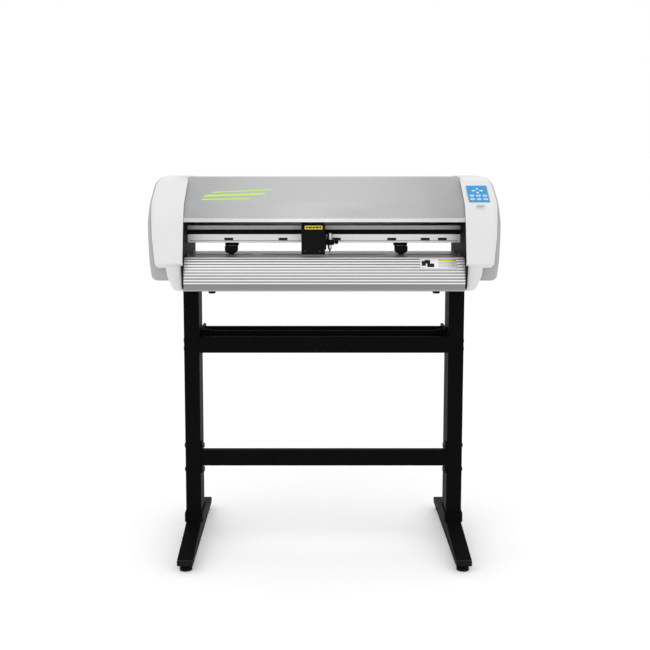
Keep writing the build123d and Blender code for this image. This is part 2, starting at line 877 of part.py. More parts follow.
export_step(platen.part, "parts/platen.step")

with BuildPart() as apron:
    with BuildSketch(Plane.YZ.offset(-frame_half_span)):
        with BuildLine():
            apron_face = CenterArc(apron_centre, apron_radius, 180 - apron_turn, apron_turn)
            Line(apron_face @ 1, lifted([(apron_foot_y, apron_foot_height)])[0])
            offset(amount=apron_thickness, side=Side.LEFT)
        make_face()
        with Locations(apron_centre):
            with PolarLocations(
                apron_radius,
                flute_count,
                start_angle=180 - apron_turn + 4,
                angular_range=apron_turn,
                endpoint=True,
            ):
                Rectangle(2 * flute_depth, flute_width, mode=Mode.SUBTRACT)
    extrude(amount=2 * frame_half_span)
apron.part.label = "apron"
export_step(apron.part, "parts/apron.step")

with BuildPart() as rear_guide:
    add(
        bent_strip(
            -frame_half_span,
            2 * frame_half_span,
            [
                (platen_rear_y, platen_height - sheet),
        (rear_foot_y - guide_bend, platen_height - sheet),
                (rear_foot_y + 6.0, platen_height / 2),
                (rear_foot_y + 6.0, 0.0),
            ],
            [guide_bend, guide_bend],
            sheet,
        )
    )
rear_guide.part.label = "rear_guide"
export_step(rear_guide.part, "parts/rear_guide.step")

with BuildPart() as shaft_bearings:
    with BuildSketch(Plane.YZ.offset(frame_half_span)):
        with Locations((feed_axis_y, feed_axis_z)):
            Circle(bearing_radius)
            Circle(shaft_radius + running, mode=Mode.SUBTRACT)
    extrude(amount=bearing_width)
    with BuildSketch(Plane.YZ.offset(frame_outer_x)):
        with Locations((feed_axis_y, feed_axis_z)):
            Circle(bearing_radius + 2)
            Circle(bearing_radius, mode=Mode.SUBTRACT)
    extrude(amount=1.5)
    mirror(about=Plane.YZ)
shaft_bearings.part.label = "shaft_bearings"
export_step(shaft_bearings.part, "parts/shaft_bearings.step")

feed_pulley_x = frame_half_span + feed_pulley_offset
with BuildPart() as feed_shaft:
    with BuildSketch(Plane.YZ.offset(-frame_half_span - bearing_width - 2)):
        with Locations((feed_axis_y, feed_axis_z)):
            Circle(shaft_radius)
    extrude(amount=2 * frame_half_span + bearing_width + 4 + feed_pulley_offset + pulley_face)
    for rim_x, rim_radius, rim_width in (
        (feed_pulley_x - flange_thickness, large_pulley_radius + flange_rim, flange_thickness),
        (feed_pulley_x, large_pulley_radius, pulley_face),
        (feed_pulley_x + pulley_face, large_pulley_radius + flange_rim, flange_thickness),
    ):
        with BuildSketch(Plane.YZ.offset(rim_x)):
            with Locations((feed_axis_y, feed_axis_z)):
                Circle(rim_radius)
        extrude(amount=rim_width)
feed_shaft.part.label = "feed_shaft"
export_step(feed_shaft.part, "parts/feed_shaft.step")

with BuildPart() as grit_wheels:
    for grit_x in grit_centres:
        with BuildSketch(Plane.YZ.offset(grit_x - grit_length / 2)):
            with Locations((feed_axis_y, feed_axis_z)):
                Circle(grit_radius)
                Circle(shaft_radius, mode=Mode.SUBTRACT)
        extrude(amount=grit_length)
grit_wheels.part.label = "grit_wheels"
export_step(grit_wheels.part, "parts/grit_wheels.step")

feed_motor_z = stand_height + feed_motor_height
with BuildPart() as feed_motor:
    with BuildSketch(Plane.YZ.offset(frame_half_span - feed_motor_length)):
        with Locations((feed_motor_y, feed_motor_z)):
            RectangleRounded(motor_size, motor_size, plate_corner)
    extrude(amount=feed_motor_length)
    with BuildSketch(Plane.YZ.offset(frame_half_span - motor_bore_depth)):
        with Locations((feed_motor_y, feed_motor_z)):
            Circle(motor_shaft_radius + running)
    extrude(amount=motor_bore_depth, mode=Mode.SUBTRACT)
feed_motor.part.label = "feed_motor"
export_step(feed_motor.part, "parts/feed_motor.step")

with BuildPart() as feed_motor_pulley:
    for rim_x, rim_radius, rim_width in (
        (feed_pulley_x - flange_thickness, small_pulley_radius + flange_rim, flange_thickness),
        (feed_pulley_x, small_pulley_radius, pulley_face),
        (feed_pulley_x + pulley_face, small_pulley_radius + flange_rim, flange_thickness),
        (
            frame_half_span - motor_bore_depth + touch,
            motor_shaft_radius,
            motor_bore_depth + feed_pulley_offset + pulley_face + flange_thickness,
        ),
    ):
        with BuildSketch(Plane.YZ.offset(rim_x)):
            with Locations((feed_motor_y, feed_motor_z)):
                Circle(rim_radius)
        extrude(amount=rim_width)
feed_motor_pulley.part.label = "feed_motor_pulley"
export_step(feed_motor_pulley.part, "parts/feed_motor_pulley.step")


def belt_loop(plane, ends, thickness, width):
    """A closed belt round two pulleys, each given as (place, radius) in the plane."""
    with BuildPart() as belt:
        with BuildSketch(plane):
            for grow, mode in ((touch + thickness, Mode.ADD), (touch, Mode.SUBTRACT)):
                with BuildSketch(mode=Mode.PRIVATE) as outline:
                    for place, radius in ends:
                        with Locations(place):
                            Circle(radius + grow)
                    make_hull()
                add(outline.sketch, mode=mode)
        extrude(amount=width)
    return belt.part


with BuildPart() as feed_belt:
    add(
        belt_loop(
            Plane.YZ.offset(feed_pulley_x + (pulley_face - feed_belt_width) / 2),
            [
                ((feed_axis_y, feed_axis_z), large_pulley_radius),
                ((feed_motor_y, feed_motor_z), small_pulley_radius),
            ],
            feed_belt_thickness,
            feed_belt_width,
        )
    )
feed_belt.part.label = "feed_belt"
export_step(feed_belt.part, "parts/feed_belt.step")

# ========================== Rail and carriage drive ==========================

tee_z = rail_z + tee_neck_height
with BuildPart() as guide_rail:
    with BuildSketch(Plane.YZ.offset(-frame_half_span)):
        with Locations(((rail_front_y + rail_rear_y) / 2, rail_z + rail_height / 2)):
            RectangleRounded(rail_rear_y - rail_front_y, rail_height, 1.0)
        with Locations((rail_front_y, belt_z)):
            Rectangle(2 * channel_depth, channel_height, mode=Mode.SUBTRACT)
        with Locations((pulley_y + small_pulley_radius, belt_z)):
            Rectangle(channel_height, channel_height, mode=Mode.SUBTRACT)
        with Locations((tee_y, rail_z + tee_neck_height / 2)):
            Rectangle(tee_neck, tee_neck_height, mode=Mode.SUBTRACT)
        with Locations((tee_y, tee_z + tee_head_height / 2)):
            Rectangle(tee_head, tee_head_height, mode=Mode.SUBTRACT)
        with Locations((rail_front_y, tee_z + tee_head_height / 2)):
            Rectangle(flange_rim, flange_rim, mode=Mode.SUBTRACT)
    extrude(amount=2 * frame_half_span)
guide_rail.part.label = "guide_rail"
export_step(guide_rail.part, "parts/guide_rail.step")

with BuildPart() as carriage_motor:
    with BuildSketch(Plane.XY.offset(shelf_z - shelf_thickness - carriage_motor_length)):
        with Locations((motor_x, pulley_y)):
            RectangleRounded(motor_size, motor_size, plate_corner)
    extrude(amount=carriage_motor_length)
    with BuildSketch(Plane.XY.offset(shelf_z - shelf_thickness - motor_bore_depth)):
        with Locations((motor_x, pulley_y)):
            Circle(motor_shaft_radius + running)
    extrude(amount=motor_bore_depth, mode=Mode.SUBTRACT)
carriage_motor.part.label = "carriage_motor"
export_step(carriage_motor.part, "parts/carriage_motor.step")


def belt_pulley(x):
    """A flanged belt pulley on an upright axis."""
    with BuildPart() as pulley:
        for rim_z, rim_radius, rim_height in (
            (pulley_low_z - flange_thickness, small_pulley_radius + flange_rim, flange_thickness),
            (pulley_low_z, small_pulley_radius, pulley_face),
            (pulley_low_z + pulley_face, small_pulley_radius + flange_rim, flange_thickness),
        ):
            with BuildSketch(Plane.XY.offset(rim_z)):
                with Locations((x, pulley_y)):
                    Circle(rim_radius)
            extrude(amount=rim_height)
    return pulley.part


with BuildPart() as carriage_motor_pulley:
    add(belt_pulley(motor_x))
    shaft_low_z = shelf_z - shelf_thickness - motor_bore_depth + touch
    with BuildSketch(Plane.XY.offset(shaft_low_z)):
        with Locations((motor_x, pulley_y)):
            Circle(motor_shaft_radius)
    extrude(amount=pulley_low_z + pulley_face + 2 * flange_thickness - shaft_low_z)
carriage_motor_pulley.part.label = "carriage_motor_pulley"
export_step(carriage_motor_pulley.part, "parts/carriage_motor_pulley.step")

with BuildPart() as idler_pulley:
    add(belt_pulley(idler_x))
    with BuildSketch(Plane.XY.offset(pulley_low_z - flange_thickness)):
        with Locations((idler_x, pulley_y)):
            Circle(idler_pin_radius + running)
    extrude(amount=pulley_face + 2 * flange_thickness, mode=Mode.SUBTRACT)
idler_pulley.part.label = "idler_pulley"
export_step(idler_pulley.part, "parts/idler_pulley.step")

with BuildPart() as carriage_belt:
    add(
        belt_loop(
            Plane.XY.offset(belt_z - carriage_belt_width / 2),
            [((motor_x, pulley_y), small_pulley_radius), ((idler_x, pulley_y), small_pulley_radius)],
            carriage_belt_thickness,
            carriage_belt_width,
        )
    )
carriage_belt.part.label = "carriage_belt"
export_step(carriage_belt.part, "parts/carriage_belt.step")

# =============================== Carriage ===============================

carriage_z = stand_height + carriage_bottom
carriage_top_z = stand_height + carriage_top
rail_top_z = rail_z + rail_height
carriage_back_y = rail_front_y - touch
belt_front_y = pulley_y - small_pulley_radius - touch - carriage_belt_thickness
belt_back_y = pulley_y - small_pulley_radius - touch
with BuildPart() as carriage_body:
    with BuildSketch(Plane.XY.offset(carriage_z)):
        with Locations((carriage_x, (carriage_front_y + carriage_back_y) / 2)):
            Rectangle(carriage_width, carriage_back_y - carriage_front_y)
    extrude(amount=carriage_top_z - carriage_z)
    fillet(carriage_body.edges().filter_by(Axis.Z).group_by(Axis.Y)[0], radius=5.0)
    fillet(carriage_body.faces().sort_by(Axis.Z)[-1].edges().sort_by(Axis.Y)[0], radius=4.0)
    with BuildSketch(Plane.XY.offset(carriage_z + carriage_wall)):
        with Locations((carriage_x, (carriage_front_y + carriage_back_y) / 2)):
            Rectangle(
                carriage_width - 4 * carriage_wall,
                carriage_back_y - carriage_front_y - 4 * carriage_wall,
            )
    extrude(amount=carriage_top_z - carriage_z - 3 * carriage_wall, mode=Mode.SUBTRACT)
    with BuildSketch(Plane.YZ.offset(carriage_x - carriage_width / 2)):
        with BuildLine():
            Polyline(
                (carriage_back_y, rail_top_z + touch),
                (rail_rear_y + touch, rail_top_z + touch),
                (rail_rear_y + touch, rail_top_z - hook_drop),
                (rail_rear_y + touch + hook_lip, rail_top_z - hook_drop),
                (rail_rear_y + touch + hook_lip, rail_top_z + touch + hook_thickness),
                (carriage_back_y, rail_top_z + touch + hook_thickness),
                close=True,
            )
        make_face()
    extrude(amount=carriage_width)
    with BuildSketch(Plane.YZ.offset(carriage_x - clip_length / 2)):
        with BuildLine():
            Polyline(
                (carriage_back_y, channel_z + 2 * touch),
                (belt_front_y - touch, channel_z + 2 * touch),
                (belt_front_y - touch, belt_z + carriage_belt_width / 2 + touch),
                (belt_back_y + touch, belt_z + carriage_belt_width / 2 + touch),
                (belt_back_y + touch, channel_z + 2 * touch),
                (belt_back_y + touch + hook_lip / 2, channel_z + 2 * touch),
                (belt_back_y + touch + hook_lip / 2, channel_z + channel_height - touch),
                (carriage_back_y, channel_z + channel_height - touch),
                close=True,
            )
        make_face()
    extrude(amount=clip_length)
carriage_body.part.label = "carriage_body"
export_step(carriage_body.part, "parts/carriage_body.step")

holder_y = knife_line_y
clamp_z = stand_height + clamp_bottom
tool_side_x = carriage_x + carriage_width / 2 + touch
clamp_right_x = holder_x + clamp_reach
knob_z = clamp_z + clamp_height / 2
with BuildPart() as tool_clamp:
    with BuildSketch(Plane.YZ.offset(tool_side_x)):
        with Locations((holder_y, stand_height + slide_bottom + slide_height / 2)):
            RectangleRounded(slide_plate_width, slide_height, 3.0)
    extrude(amount=slide_plate)
    with BuildSketch(Plane.XY.offset(clamp_z)):
        with Locations(((tool_side_x + clamp_right_x) / 2, holder_y)):
            Rectangle(clamp_right_x - tool_side_x, 2 * clamp_reach)
    extrude(amount=clamp_height)
    fillet(tool_clamp.edges().filter_by(Axis.Z).group_by(Axis.X)[-1], radius=5.0)
    with BuildSketch(Plane.XY.offset(clamp_z)):
        with Locations((holder_x, holder_y)):
            Circle(holder_radius)
    extrude(amount=clamp_height, mode=Mode.SUBTRACT)
    with BuildSketch(Plane.YZ.offset(clamp_right_x - knob_stud_length)):
        with Locations((holder_y, knob_z)):
            Circle(knob_stud_radius + running)
    extrude(amount=knob_stud_length, mode=Mode.SUBTRACT)
tool_clamp.part.label = "tool_clamp"
export_step(tool_clamp.part, "parts/tool_clamp.step")

with BuildPart() as blade_holder:
    with BuildSketch(Plane.XZ.offset(-holder_y)) as holder_profile:
        with BuildLine():
            Polyline(
                (holder_x, stand_height + holder_tip),
                (holder_x + 1.5, stand_height + holder_tip),
                (holder_x + holder_radius - 1, stand_height + holder_shoulder),
                (holder_x + holder_radius, stand_height + holder_shoulder),
                (holder_x + holder_radius, clamp_z + clamp_height),
                (holder_x + holder_collar_radius, clamp_z + clamp_height),
                (holder_x + holder_collar_radius, clamp_z + clamp_height + 3),
                (holder_x + holder_top_radius, clamp_z + clamp_height + 3),
                (holder_x + holder_top_radius, stand_height + holder_top - 1),
                (holder_x + holder_top_radius - 1, stand_height + holder_top),
                (holder_x, stand_height + holder_top),
                close=True,
            )
        make_face()
    revolve(axis=Axis((holder_x, holder_y, 0), (0, 0, 1)))
blade_holder.part.label = "blade_holder"
export_step(blade_holder.part, "parts/blade_holder.step")

with BuildPart() as clamp_knob:
    with BuildSketch(Plane.YZ.offset(clamp_right_x + touch)):
        with Locations((holder_y, knob_z)):
            Circle(knob_radius)
            with PolarLocations(knob_radius, 8):
                Circle(1.0, mode=Mode.SUBTRACT)
    extrude(amount=knob_length)
    with BuildSketch(Plane.YZ.offset(clamp_right_x - knob_stud_length + touch)):
        with Locations((holder_y, knob_z)):
            Circle(knob_stud_radius)
    extrude(amount=knob_stud_length)
clamp_knob.part.label = "clamp_knob"
export_step(clamp_knob.part, "parts/clamp_knob.step")

# ============================= Pinch rollers =============================

for side, pinch_x in (("left", left_pinch_x), ("right", right_pinch_x)):
    with BuildPart() as pinch_block:
        with BuildSketch(Plane.YZ.offset(pinch_x - pinch_half_width)):
            with BuildLine():
                Polyline(
                    (pinch_block_front_y, block_bottom_z),
                    (pinch_block_rear_y, block_bottom_z),
                    (pinch_block_rear_y, rail_z - touch),
                    (tee_y + tee_neck / 2 - touch, rail_z - touch),
                    (tee_y + tee_neck / 2 - touch, tee_z + touch),
                    (tee_y + tee_head / 2 - touch, tee_z + touch),
                    (tee_y + tee_head / 2 - touch, tee_z + tee_head_height - touch),
                    (tee_y - tee_head / 2 + touch, tee_z + tee_head_height - touch),
                    (tee_y - tee_head / 2 + touch, tee_z + touch),
                    (tee_y - tee_neck / 2 + touch, tee_z + touch),
                    (tee_y - tee_neck / 2 + touch, rail_z - touch),
                    (pinch_block_front_y, rail_z - touch),
                    close=True,
                )
            make_face()
        extrude(amount=2 * pinch_half_width)
        ear_x = arm_half_width + touch
        for ear_low_x in (pinch_x - ear_x - ear_thickness, pinch_x + ear_x):
            with BuildSketch(Plane.YZ.offset(ear_low_x)):
                with Locations((pinch_pivot_y, (pinch_pivot_z + block_bottom_z - ear_below_pivot) / 2)):
                    Rectangle(ear_width, block_bottom_z - pinch_pivot_z + ear_below_pivot)
            extrude(amount=ear_thickness)
        with BuildSketch(Plane.YZ.offset(pinch_x - ear_x)):
            with Locations((pinch_pivot_y, pinch_pivot_z)):
                Circle(pinch_axle_radius)
        extrude(amount=2 * ear_x)
    pinch_block.part.label = f"{side}_pinch_block"
    export_step(pinch_block.part, f"parts/{side}_pinch_block.step")

    with BuildPart() as pinch_arm:
        with BuildSketch(Plane.YZ.offset(pinch_x - arm_half_width)):
            with BuildLine():
                Polyline(
                    (pinch_block_front_y - 4, hood_top_z - arm_thickness),
                    (arm_rear_y, hood_top_z - arm_thickness),
                    (arm_rear_y, hood_top_z),
                    (pinch_block_front_y - 4, hood_top_z),
                    close=True,
                )
            make_face()
        extrude(amount=2 * arm_half_width)
        with BuildSketch(Plane.YZ.offset(pinch_x - hood_half_width)):
            with BuildLine():
                Polyline(
                    (hood_front_y, hood_low_z),
                    (pinch_block_front_y - 2, hood_low_z),
                    (pinch_block_front_y, hood_top_z),
                    (hood_front_y + 3, hood_top_z),
                    (hood_front_y, hood_top_z - 4),
                    close=True,
                )
            make_face()
        extrude(amount=2 * hood_half_width)
        with BuildSketch(Plane.YZ.offset(pinch_x - pinch_wheel_width / 2 - touch)):
            with Locations((feed_axis_y, wheel_z)):
                Circle(pinch_wheel_radius + 2 * touch)
            with Locations((feed_axis_y, wheel_z - pinch_wheel_radius)):
                Rectangle(2 * pinch_wheel_radius + 4 * touch, 2 * pinch_wheel_radius)
        extrude(amount=pinch_wheel_width + 2 * touch, mode=Mode.SUBTRACT)
        with BuildSketch(Plane.YZ.offset(pinch_x - pinch_wheel_width / 2 - 1)):
            with Locations((feed_axis_y, wheel_z)):
                Circle(pinch_axle_radius)
        extrude(amount=pinch_wheel_width + 2)
        with BuildSketch(Plane.YZ.offset(pinch_x - hood_half_width)):
            with Locations((pinch_pivot_y, pinch_pivot_z)):
                Circle(pinch_axle_radius + running)
        extrude(amount=2 * hood_half_width, mode=Mode.SUBTRACT)
    pinch_arm.part.label = f"{side}_pinch_arm"
    export_step(pinch_arm.part, f"parts/{side}_pinch_arm.step")

    with BuildPart() as pinch_wheel:
        with BuildSketch(Plane.YZ.offset(pinch_x - pinch_wheel_width / 2)):
            with Locations((feed_axis_y, wheel_z)):
                Circle(pinch_wheel_radius)
                Circle(pinch_axle_radius + running, mode=Mode.SUBTRACT)
        extrude(amount=pinch_wheel_width)
    pinch_wheel.part.label = f"{side}_pinch_wheel"
    export_step(pinch_wheel.part, f"parts/{side}_pinch_wheel.step")

# ================================ Keypad ================================

key_places = {
    "key_up": (0, arrow_centre + arrow_up_pitch, "upright"),
    "key_down": (0, arrow_centre - arrow_up_pitch, "upright"),
    "key_left": (-arrow_side_pitch, arrow_centre, "level"),
    "key_right": (arrow_side_pitch, arrow_centre, "level"),
    "key_size": (-function_pitch, function_rows[0], "oval"),
    "key_set": (0, function_rows[0], "oval"),
    "key_speed": (function_pitch, function_rows[0], "oval"),
    "key_origin": (-function_pitch, function_rows[1], "oval"),
    "key_test": (0, function_rows[1], "oval"),
    "key_enter": (function_pitch, function_rows[1], "oval"),
}


def key_radii(shape, grow=0.0):
    """Half sizes of a key's ellipse in the keypad plane."""
    if shape == "upright":
        return arrow_short + grow, arrow_short * 0.9 + grow
    if shape == "level":
        return arrow_long + grow, arrow_short * 0.8 + grow
    return function_long + grow, function_short + grow


pad_bottom = keypad_plane.offset(-keypad_recess)
with BuildPart() as keypad:
    with BuildSketch(pad_bottom):
        RectangleRounded(keypad_width, keypad_length, 2.0)
        for key_x, key_y, key_shape in key_places.values():
            with Locations((key_x, key_y)):
                Ellipse(*key_radii(key_shape, key_gap), mode=Mode.SUBTRACT)
    extrude(amount=keypad_thickness)
keypad.part.label = "keypad"
export_step(keypad.part, "parts/keypad.step")

key_top = keypad_plane.offset(keypad_thickness - keypad_recess + key_proud)
for key_name, (key_x, key_y, key_shape) in key_places.items():
    with BuildPart() as key:
        with BuildSketch(key_top):
            with Locations((key_x, key_y)):
                Ellipse(*key_radii(key_shape))
        extrude(amount=-key_depth - key_proud)
    key.part.label = key_name
    export_step(key.part, f"parts/{key_name}.step")

# =============================== Electrics ===============================

board_x = frame_outer_x + board_spacer
board_z = stand_height + board_height
with BuildPart() as control_board:
    with BuildSketch(Plane.YZ.offset(board_x)):
        with Locations((board_y, board_z)):
            RectangleRounded(*board_size, 3.0)
    extrude(amount=board_thickness)
    with BuildSketch(Plane.YZ.offset(frame_outer_x)):
        with Locations((board_y, board_z)):
            with GridLocations(board_size[0] - 10, board_size[1] - 10, 2, 2):
                Circle(3.0)
    extrude(amount=board_spacer)
    for chip_y, chip_z, chip_size, chip_rise in (
        (-20.0, 10.0, (22.0, 22.0), 3.0),
        (15.0, 18.0, (14.0, 20.0), 9.0),
        (32.0, -22.0, (24.0, 12.0), 12.0),
        (-15.0, -25.0, (40.0, 10.0), 8.0),
    ):
        with BuildSketch(Plane.YZ.offset(board_x + board_thickness)):
            with Locations((board_y + chip_y, board_z + chip_z)):
                Rectangle(*chip_size)
        extrude(amount=chip_rise)
control_board.part.label = "control_board"
export_step(control_board.part, "parts/control_board.step")

with BuildPart() as power_supply:
    with BuildSketch(Plane.YZ.offset(-frame_outer_x)):
        with Locations((supply_y, stand_height + supply_height)):
            Rectangle(supply_size[1], supply_size[2])
    extrude(amount=-supply_size[0])
power_supply.part.label = "power_supply"
export_step(power_supply.part, "parts/power_supply.step")

socket_z = inlet_z - socket_drop
rocker_z = inlet_z + rocker_rise
inlet_face_y = rear_y + inlet_flange_thickness
rocker_y = inlet_face_y - rocker_flat
with BuildPart() as power_inlet:
    with BuildSketch(Plane.XZ.offset(-inlet_face_y)):
        with Locations((inlet_x, inlet_z)):
            RectangleRounded(*inlet_flange, 4.0)
    extrude(amount=inlet_flange_thickness)
    with BuildSketch(Plane.XZ.offset(-rear_y)):
        with Locations((inlet_x, inlet_z)):
            Rectangle(*inlet_body)
    extrude(amount=inlet_depth)
    with BuildSketch(Plane.XZ.offset(-inlet_face_y)):
        with Locations((inlet_x, socket_z)):
            RectangleRounded(*socket_opening, 3.0)
            with Locations((0, 2), (-7, -2), (7, -2)):
                Rectangle(2.0, 5.0, mode=Mode.SUBTRACT)
    extrude(amount=socket_depth, mode=Mode.SUBTRACT)
    with BuildSketch(Plane.YZ.offset(inlet_x - rocker_width / 2 - touch)):
        with Locations((rocker_y, rocker_z)):
            Circle(rocker_radius + touch)
    extrude(amount=rocker_width + 2 * touch, mode=Mode.SUBTRACT)
    with BuildSketch(Plane.YZ.offset(inlet_x - rocker_width / 2 - rocker_pin_length - touch)):
        with Locations((rocker_y, rocker_z)):
            Circle(rocker_pin_radius + running)
    extrude(amount=rocker_width + 2 * rocker_pin_length + 2 * touch, mode=Mode.SUBTRACT)
power_inlet.part.label = "power_inlet"
export_step(power_inlet.part, "parts/power_inlet.step")

rocker_plane = Plane(
    origin=(inlet_x - rocker_width / 2, rocker_y, rocker_z),
    x_dir=(0, cos(radians(rocker_tilt)), sin(radians(rocker_tilt))),
    z_dir=(1, 0, 0),
)
with BuildPart() as power_switch:
    with BuildSketch(rocker_plane):
        Circle(rocker_radius)
        with Locations((rocker_flat + rocker_radius / 2, 0)):
            Rectangle(rocker_radius, 2 * rocker_radius, mode=Mode.SUBTRACT)
    extrude(amount=rocker_width)
    with BuildSketch(rocker_plane.offset(-rocker_pin_length)):
        Circle(rocker_pin_radius)
    extrude(amount=rocker_width + 2 * rocker_pin_length)
power_switch.part.label = "power_switch"
export_step(power_switch.part, "parts/power_switch.step")
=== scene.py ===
# %% [markdown]
# # A roll-fed vinyl cutter on its stand
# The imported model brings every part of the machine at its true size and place. This
# lesson gives each part the finish of the real product, and builds the pieces whose shape
# needs more than a machined solid can show: moulded covers, knurled metal, labels.

# %% Load the frame
import math

import bmesh
import bpy
from mathutils import Matrix, Vector
from mathutils.bvhtree import BVHTree


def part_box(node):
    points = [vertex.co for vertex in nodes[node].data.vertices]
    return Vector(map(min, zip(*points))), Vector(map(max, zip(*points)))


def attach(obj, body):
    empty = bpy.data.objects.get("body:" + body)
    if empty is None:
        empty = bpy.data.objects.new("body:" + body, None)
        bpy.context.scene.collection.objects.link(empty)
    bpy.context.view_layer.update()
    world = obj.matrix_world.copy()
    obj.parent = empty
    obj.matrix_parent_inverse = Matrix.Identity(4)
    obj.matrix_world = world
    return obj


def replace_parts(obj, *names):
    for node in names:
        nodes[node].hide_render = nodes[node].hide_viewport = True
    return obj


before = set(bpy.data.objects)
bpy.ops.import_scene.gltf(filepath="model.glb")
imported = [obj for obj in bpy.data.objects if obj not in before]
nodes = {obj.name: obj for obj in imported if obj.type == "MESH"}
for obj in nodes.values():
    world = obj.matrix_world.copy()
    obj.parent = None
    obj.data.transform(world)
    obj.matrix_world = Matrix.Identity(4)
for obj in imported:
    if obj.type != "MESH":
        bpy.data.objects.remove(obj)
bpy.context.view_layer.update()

MM = 0.001
NEAR = 0.001  # millimetres; places closer than this count as one

# %% [markdown]
# ## The studio
# A product like this is shown on a seamless white sheet. One sheet of mesh runs along the
# floor, curves up and becomes the wall, so that no horizon line crosses the view. It is
# an edge that is pulled out flat, spun through a quarter turn, and pulled up.

# %% Seamless sheet
SHEET_HALF = 9.0
SHEET_FRONT = -9.0
SHEET_BACK = 3.2
SHEET_BEND = 2.4
SHEET_TOP = 8.0


def free_edges(bm, picks):
    """The open edges of a mesh whose two ends both pass a test."""
    return [e for e in bm.edges if e.is_boundary and all(picks(v.co) for v in e.verts)]


def new_verts(result):
    """The vertices that an extrusion made."""
    return [v for v in result["geom"] if isinstance(v, bmesh.types.BMVert)]


sheet = bmesh.new()
ends = [sheet.verts.new((side * SHEET_HALF, SHEET_FRONT, 0)) for side in (-1, 1)]
sheet.edges.new(ends)
pulled = bmesh.ops.extrude_edge_only(sheet, edges=sheet.edges[:])
bmesh.ops.translate(sheet, verts=new_verts(pulled), vec=(0, SHEET_BACK - SHEET_FRONT, 0))
bmesh.ops.spin(
    sheet,
    geom=free_edges(sheet, lambda co: abs(co.y - SHEET_BACK) < MM),
    cent=(0, SHEET_BACK, SHEET_BEND),
    axis=(1, 0, 0),
    angle=math.radians(90),
    steps=24,
    use_merge=False,
)
wall_y = SHEET_BACK + SHEET_BEND
pulled = bmesh.ops.extrude_edge_only(
    sheet, edges=free_edges(sheet, lambda co: abs(co.y - wall_y) < MM)
)
bmesh.ops.translate(sheet, verts=new_verts(pulled), vec=(0, 0, SHEET_TOP - SHEET_BEND))
bmesh.ops.recalc_face_normals(sheet, faces=sheet.faces[:])
sheet_mesh = bpy.data.meshes.new("studio_sheet")
sheet.to_mesh(sheet_mesh)
sheet.free()
sheet_mesh.polygons.foreach_set("use_smooth", [True] * len(sheet_mesh.polygons))
studio_sheet = bpy.data.objects.new("studio_sheet", sheet_mesh)
bpy.context.scene.collection.objects.link(studio_sheet)
print("sheet faces", len(sheet_mesh.polygons))

# %% [markdown]
# ## Camera and light
# The camera stands a little above the top of the machine and looks slightly down. Its lens
# is shifted, as on an architect's camera, so that the posts stay nearly upright. Wide soft
# boxes light the front, and a pale sky fills the rest.

# %% Camera
CAMERA_PLACE = (-0.030, -2.590, 1.0693)
CAMERA_TILT = 5.793
LENS = 52.524
SENSOR_WIDTH = 36.0
SHIFT_X = 0.0187
SHIFT_Y = -0.11
scene = bpy.context.scene
camera_data = bpy.data.cameras.new("camera")
camera_data.lens = LENS
camera_data.sensor_width = SENSOR_WIDTH
camera_data.shift_x = SHIFT_X
camera_data.shift_y = SHIFT_Y
camera = bpy.data.objects.new("camera", camera_data)
camera.location = CAMERA_PLACE
camera.rotation_euler = (math.radians(90 - CAMERA_TILT), 0, 0)
scene.collection.objects.link(camera)
scene.camera = camera
scene.view_settings.view_transform = "Standard"
print("camera", CAMERA_PLACE)


# %% Soft boxes
def soft_box(name, place, target, size, power):
    """A rectangular area light that faces a point."""
    data = bpy.data.lights.new(name, "AREA")
    data.shape = "RECTANGLE"
    data.size, data.size_y = size
    data.energy = power
    light = bpy.data.objects.new(name, data)
    light.location = place
    aim = Vector(target) - Vector(place)
    light.rotation_euler = aim.to_track_quat("-Z", "Y").to_euler()
    scene.collection.objects.link(light)


CENTRE = (0, 0, 0.8)
SKY_STRENGTH = 0.97
soft_box("key_box", (-1.1, -2.2, 3.0), CENTRE, (2.6, 1.6), 9)
soft_box("left_box", (-3.0, -1.2, 1.4), CENTRE, (1.4, 2.2), 3)
soft_box("right_box", (3.0, -1.4, 1.4), CENTRE, (1.4, 2.2), 5)
soft_box("top_box", (0.0, -0.5, 3.3), CENTRE, (3.2, 1.8), 8)
soft_box("rear_box", (0.0, 2.6, 3.0), CENTRE, (3.0, 1.2), 6)
world = bpy.data.worlds.new("studio_air")
world.use_nodes = True
sky = world.node_tree.nodes["Background"]
sky.inputs["Color"].default_value = (1, 1, 1, 1)
sky.inputs["Strength"].default_value = SKY_STRENGTH
scene.world = world

# %% [markdown]
# ## Writing a finish
# Shader maths reads best as ordinary sums. A small class wraps a socket, so that adding or
# multiplying two of them adds the Math node. One method makes any other node: its settings
# come first, then the values or links of its sockets.


# %% Sockets that add up
class Wire:
    """One output socket of a finish, which can be used in sums."""

    def __init__(self, finish, socket):
        self.finish = finish
        self.socket = socket

    def sum(self, operation, first, second):
        return self.finish.node("Math", {"operation": operation}, {0: first, 1: second})

    def __add__(self, other):
        return self.sum("ADD", self, other)

    def __sub__(self, other):
        return self.sum("SUBTRACT", self, other)

    def __rsub__(self, other):
        return self.sum("SUBTRACT", other, self)

    def __mul__(self, other):
        return self.sum("MULTIPLY", self, other)

    def __gt__(self, other):
        return self.sum("GREATER_THAN", self, other)

    def __lt__(self, other):
        return self.sum("LESS_THAN", self, other)

    __radd__ = __add__
    __rmul__ = __mul__


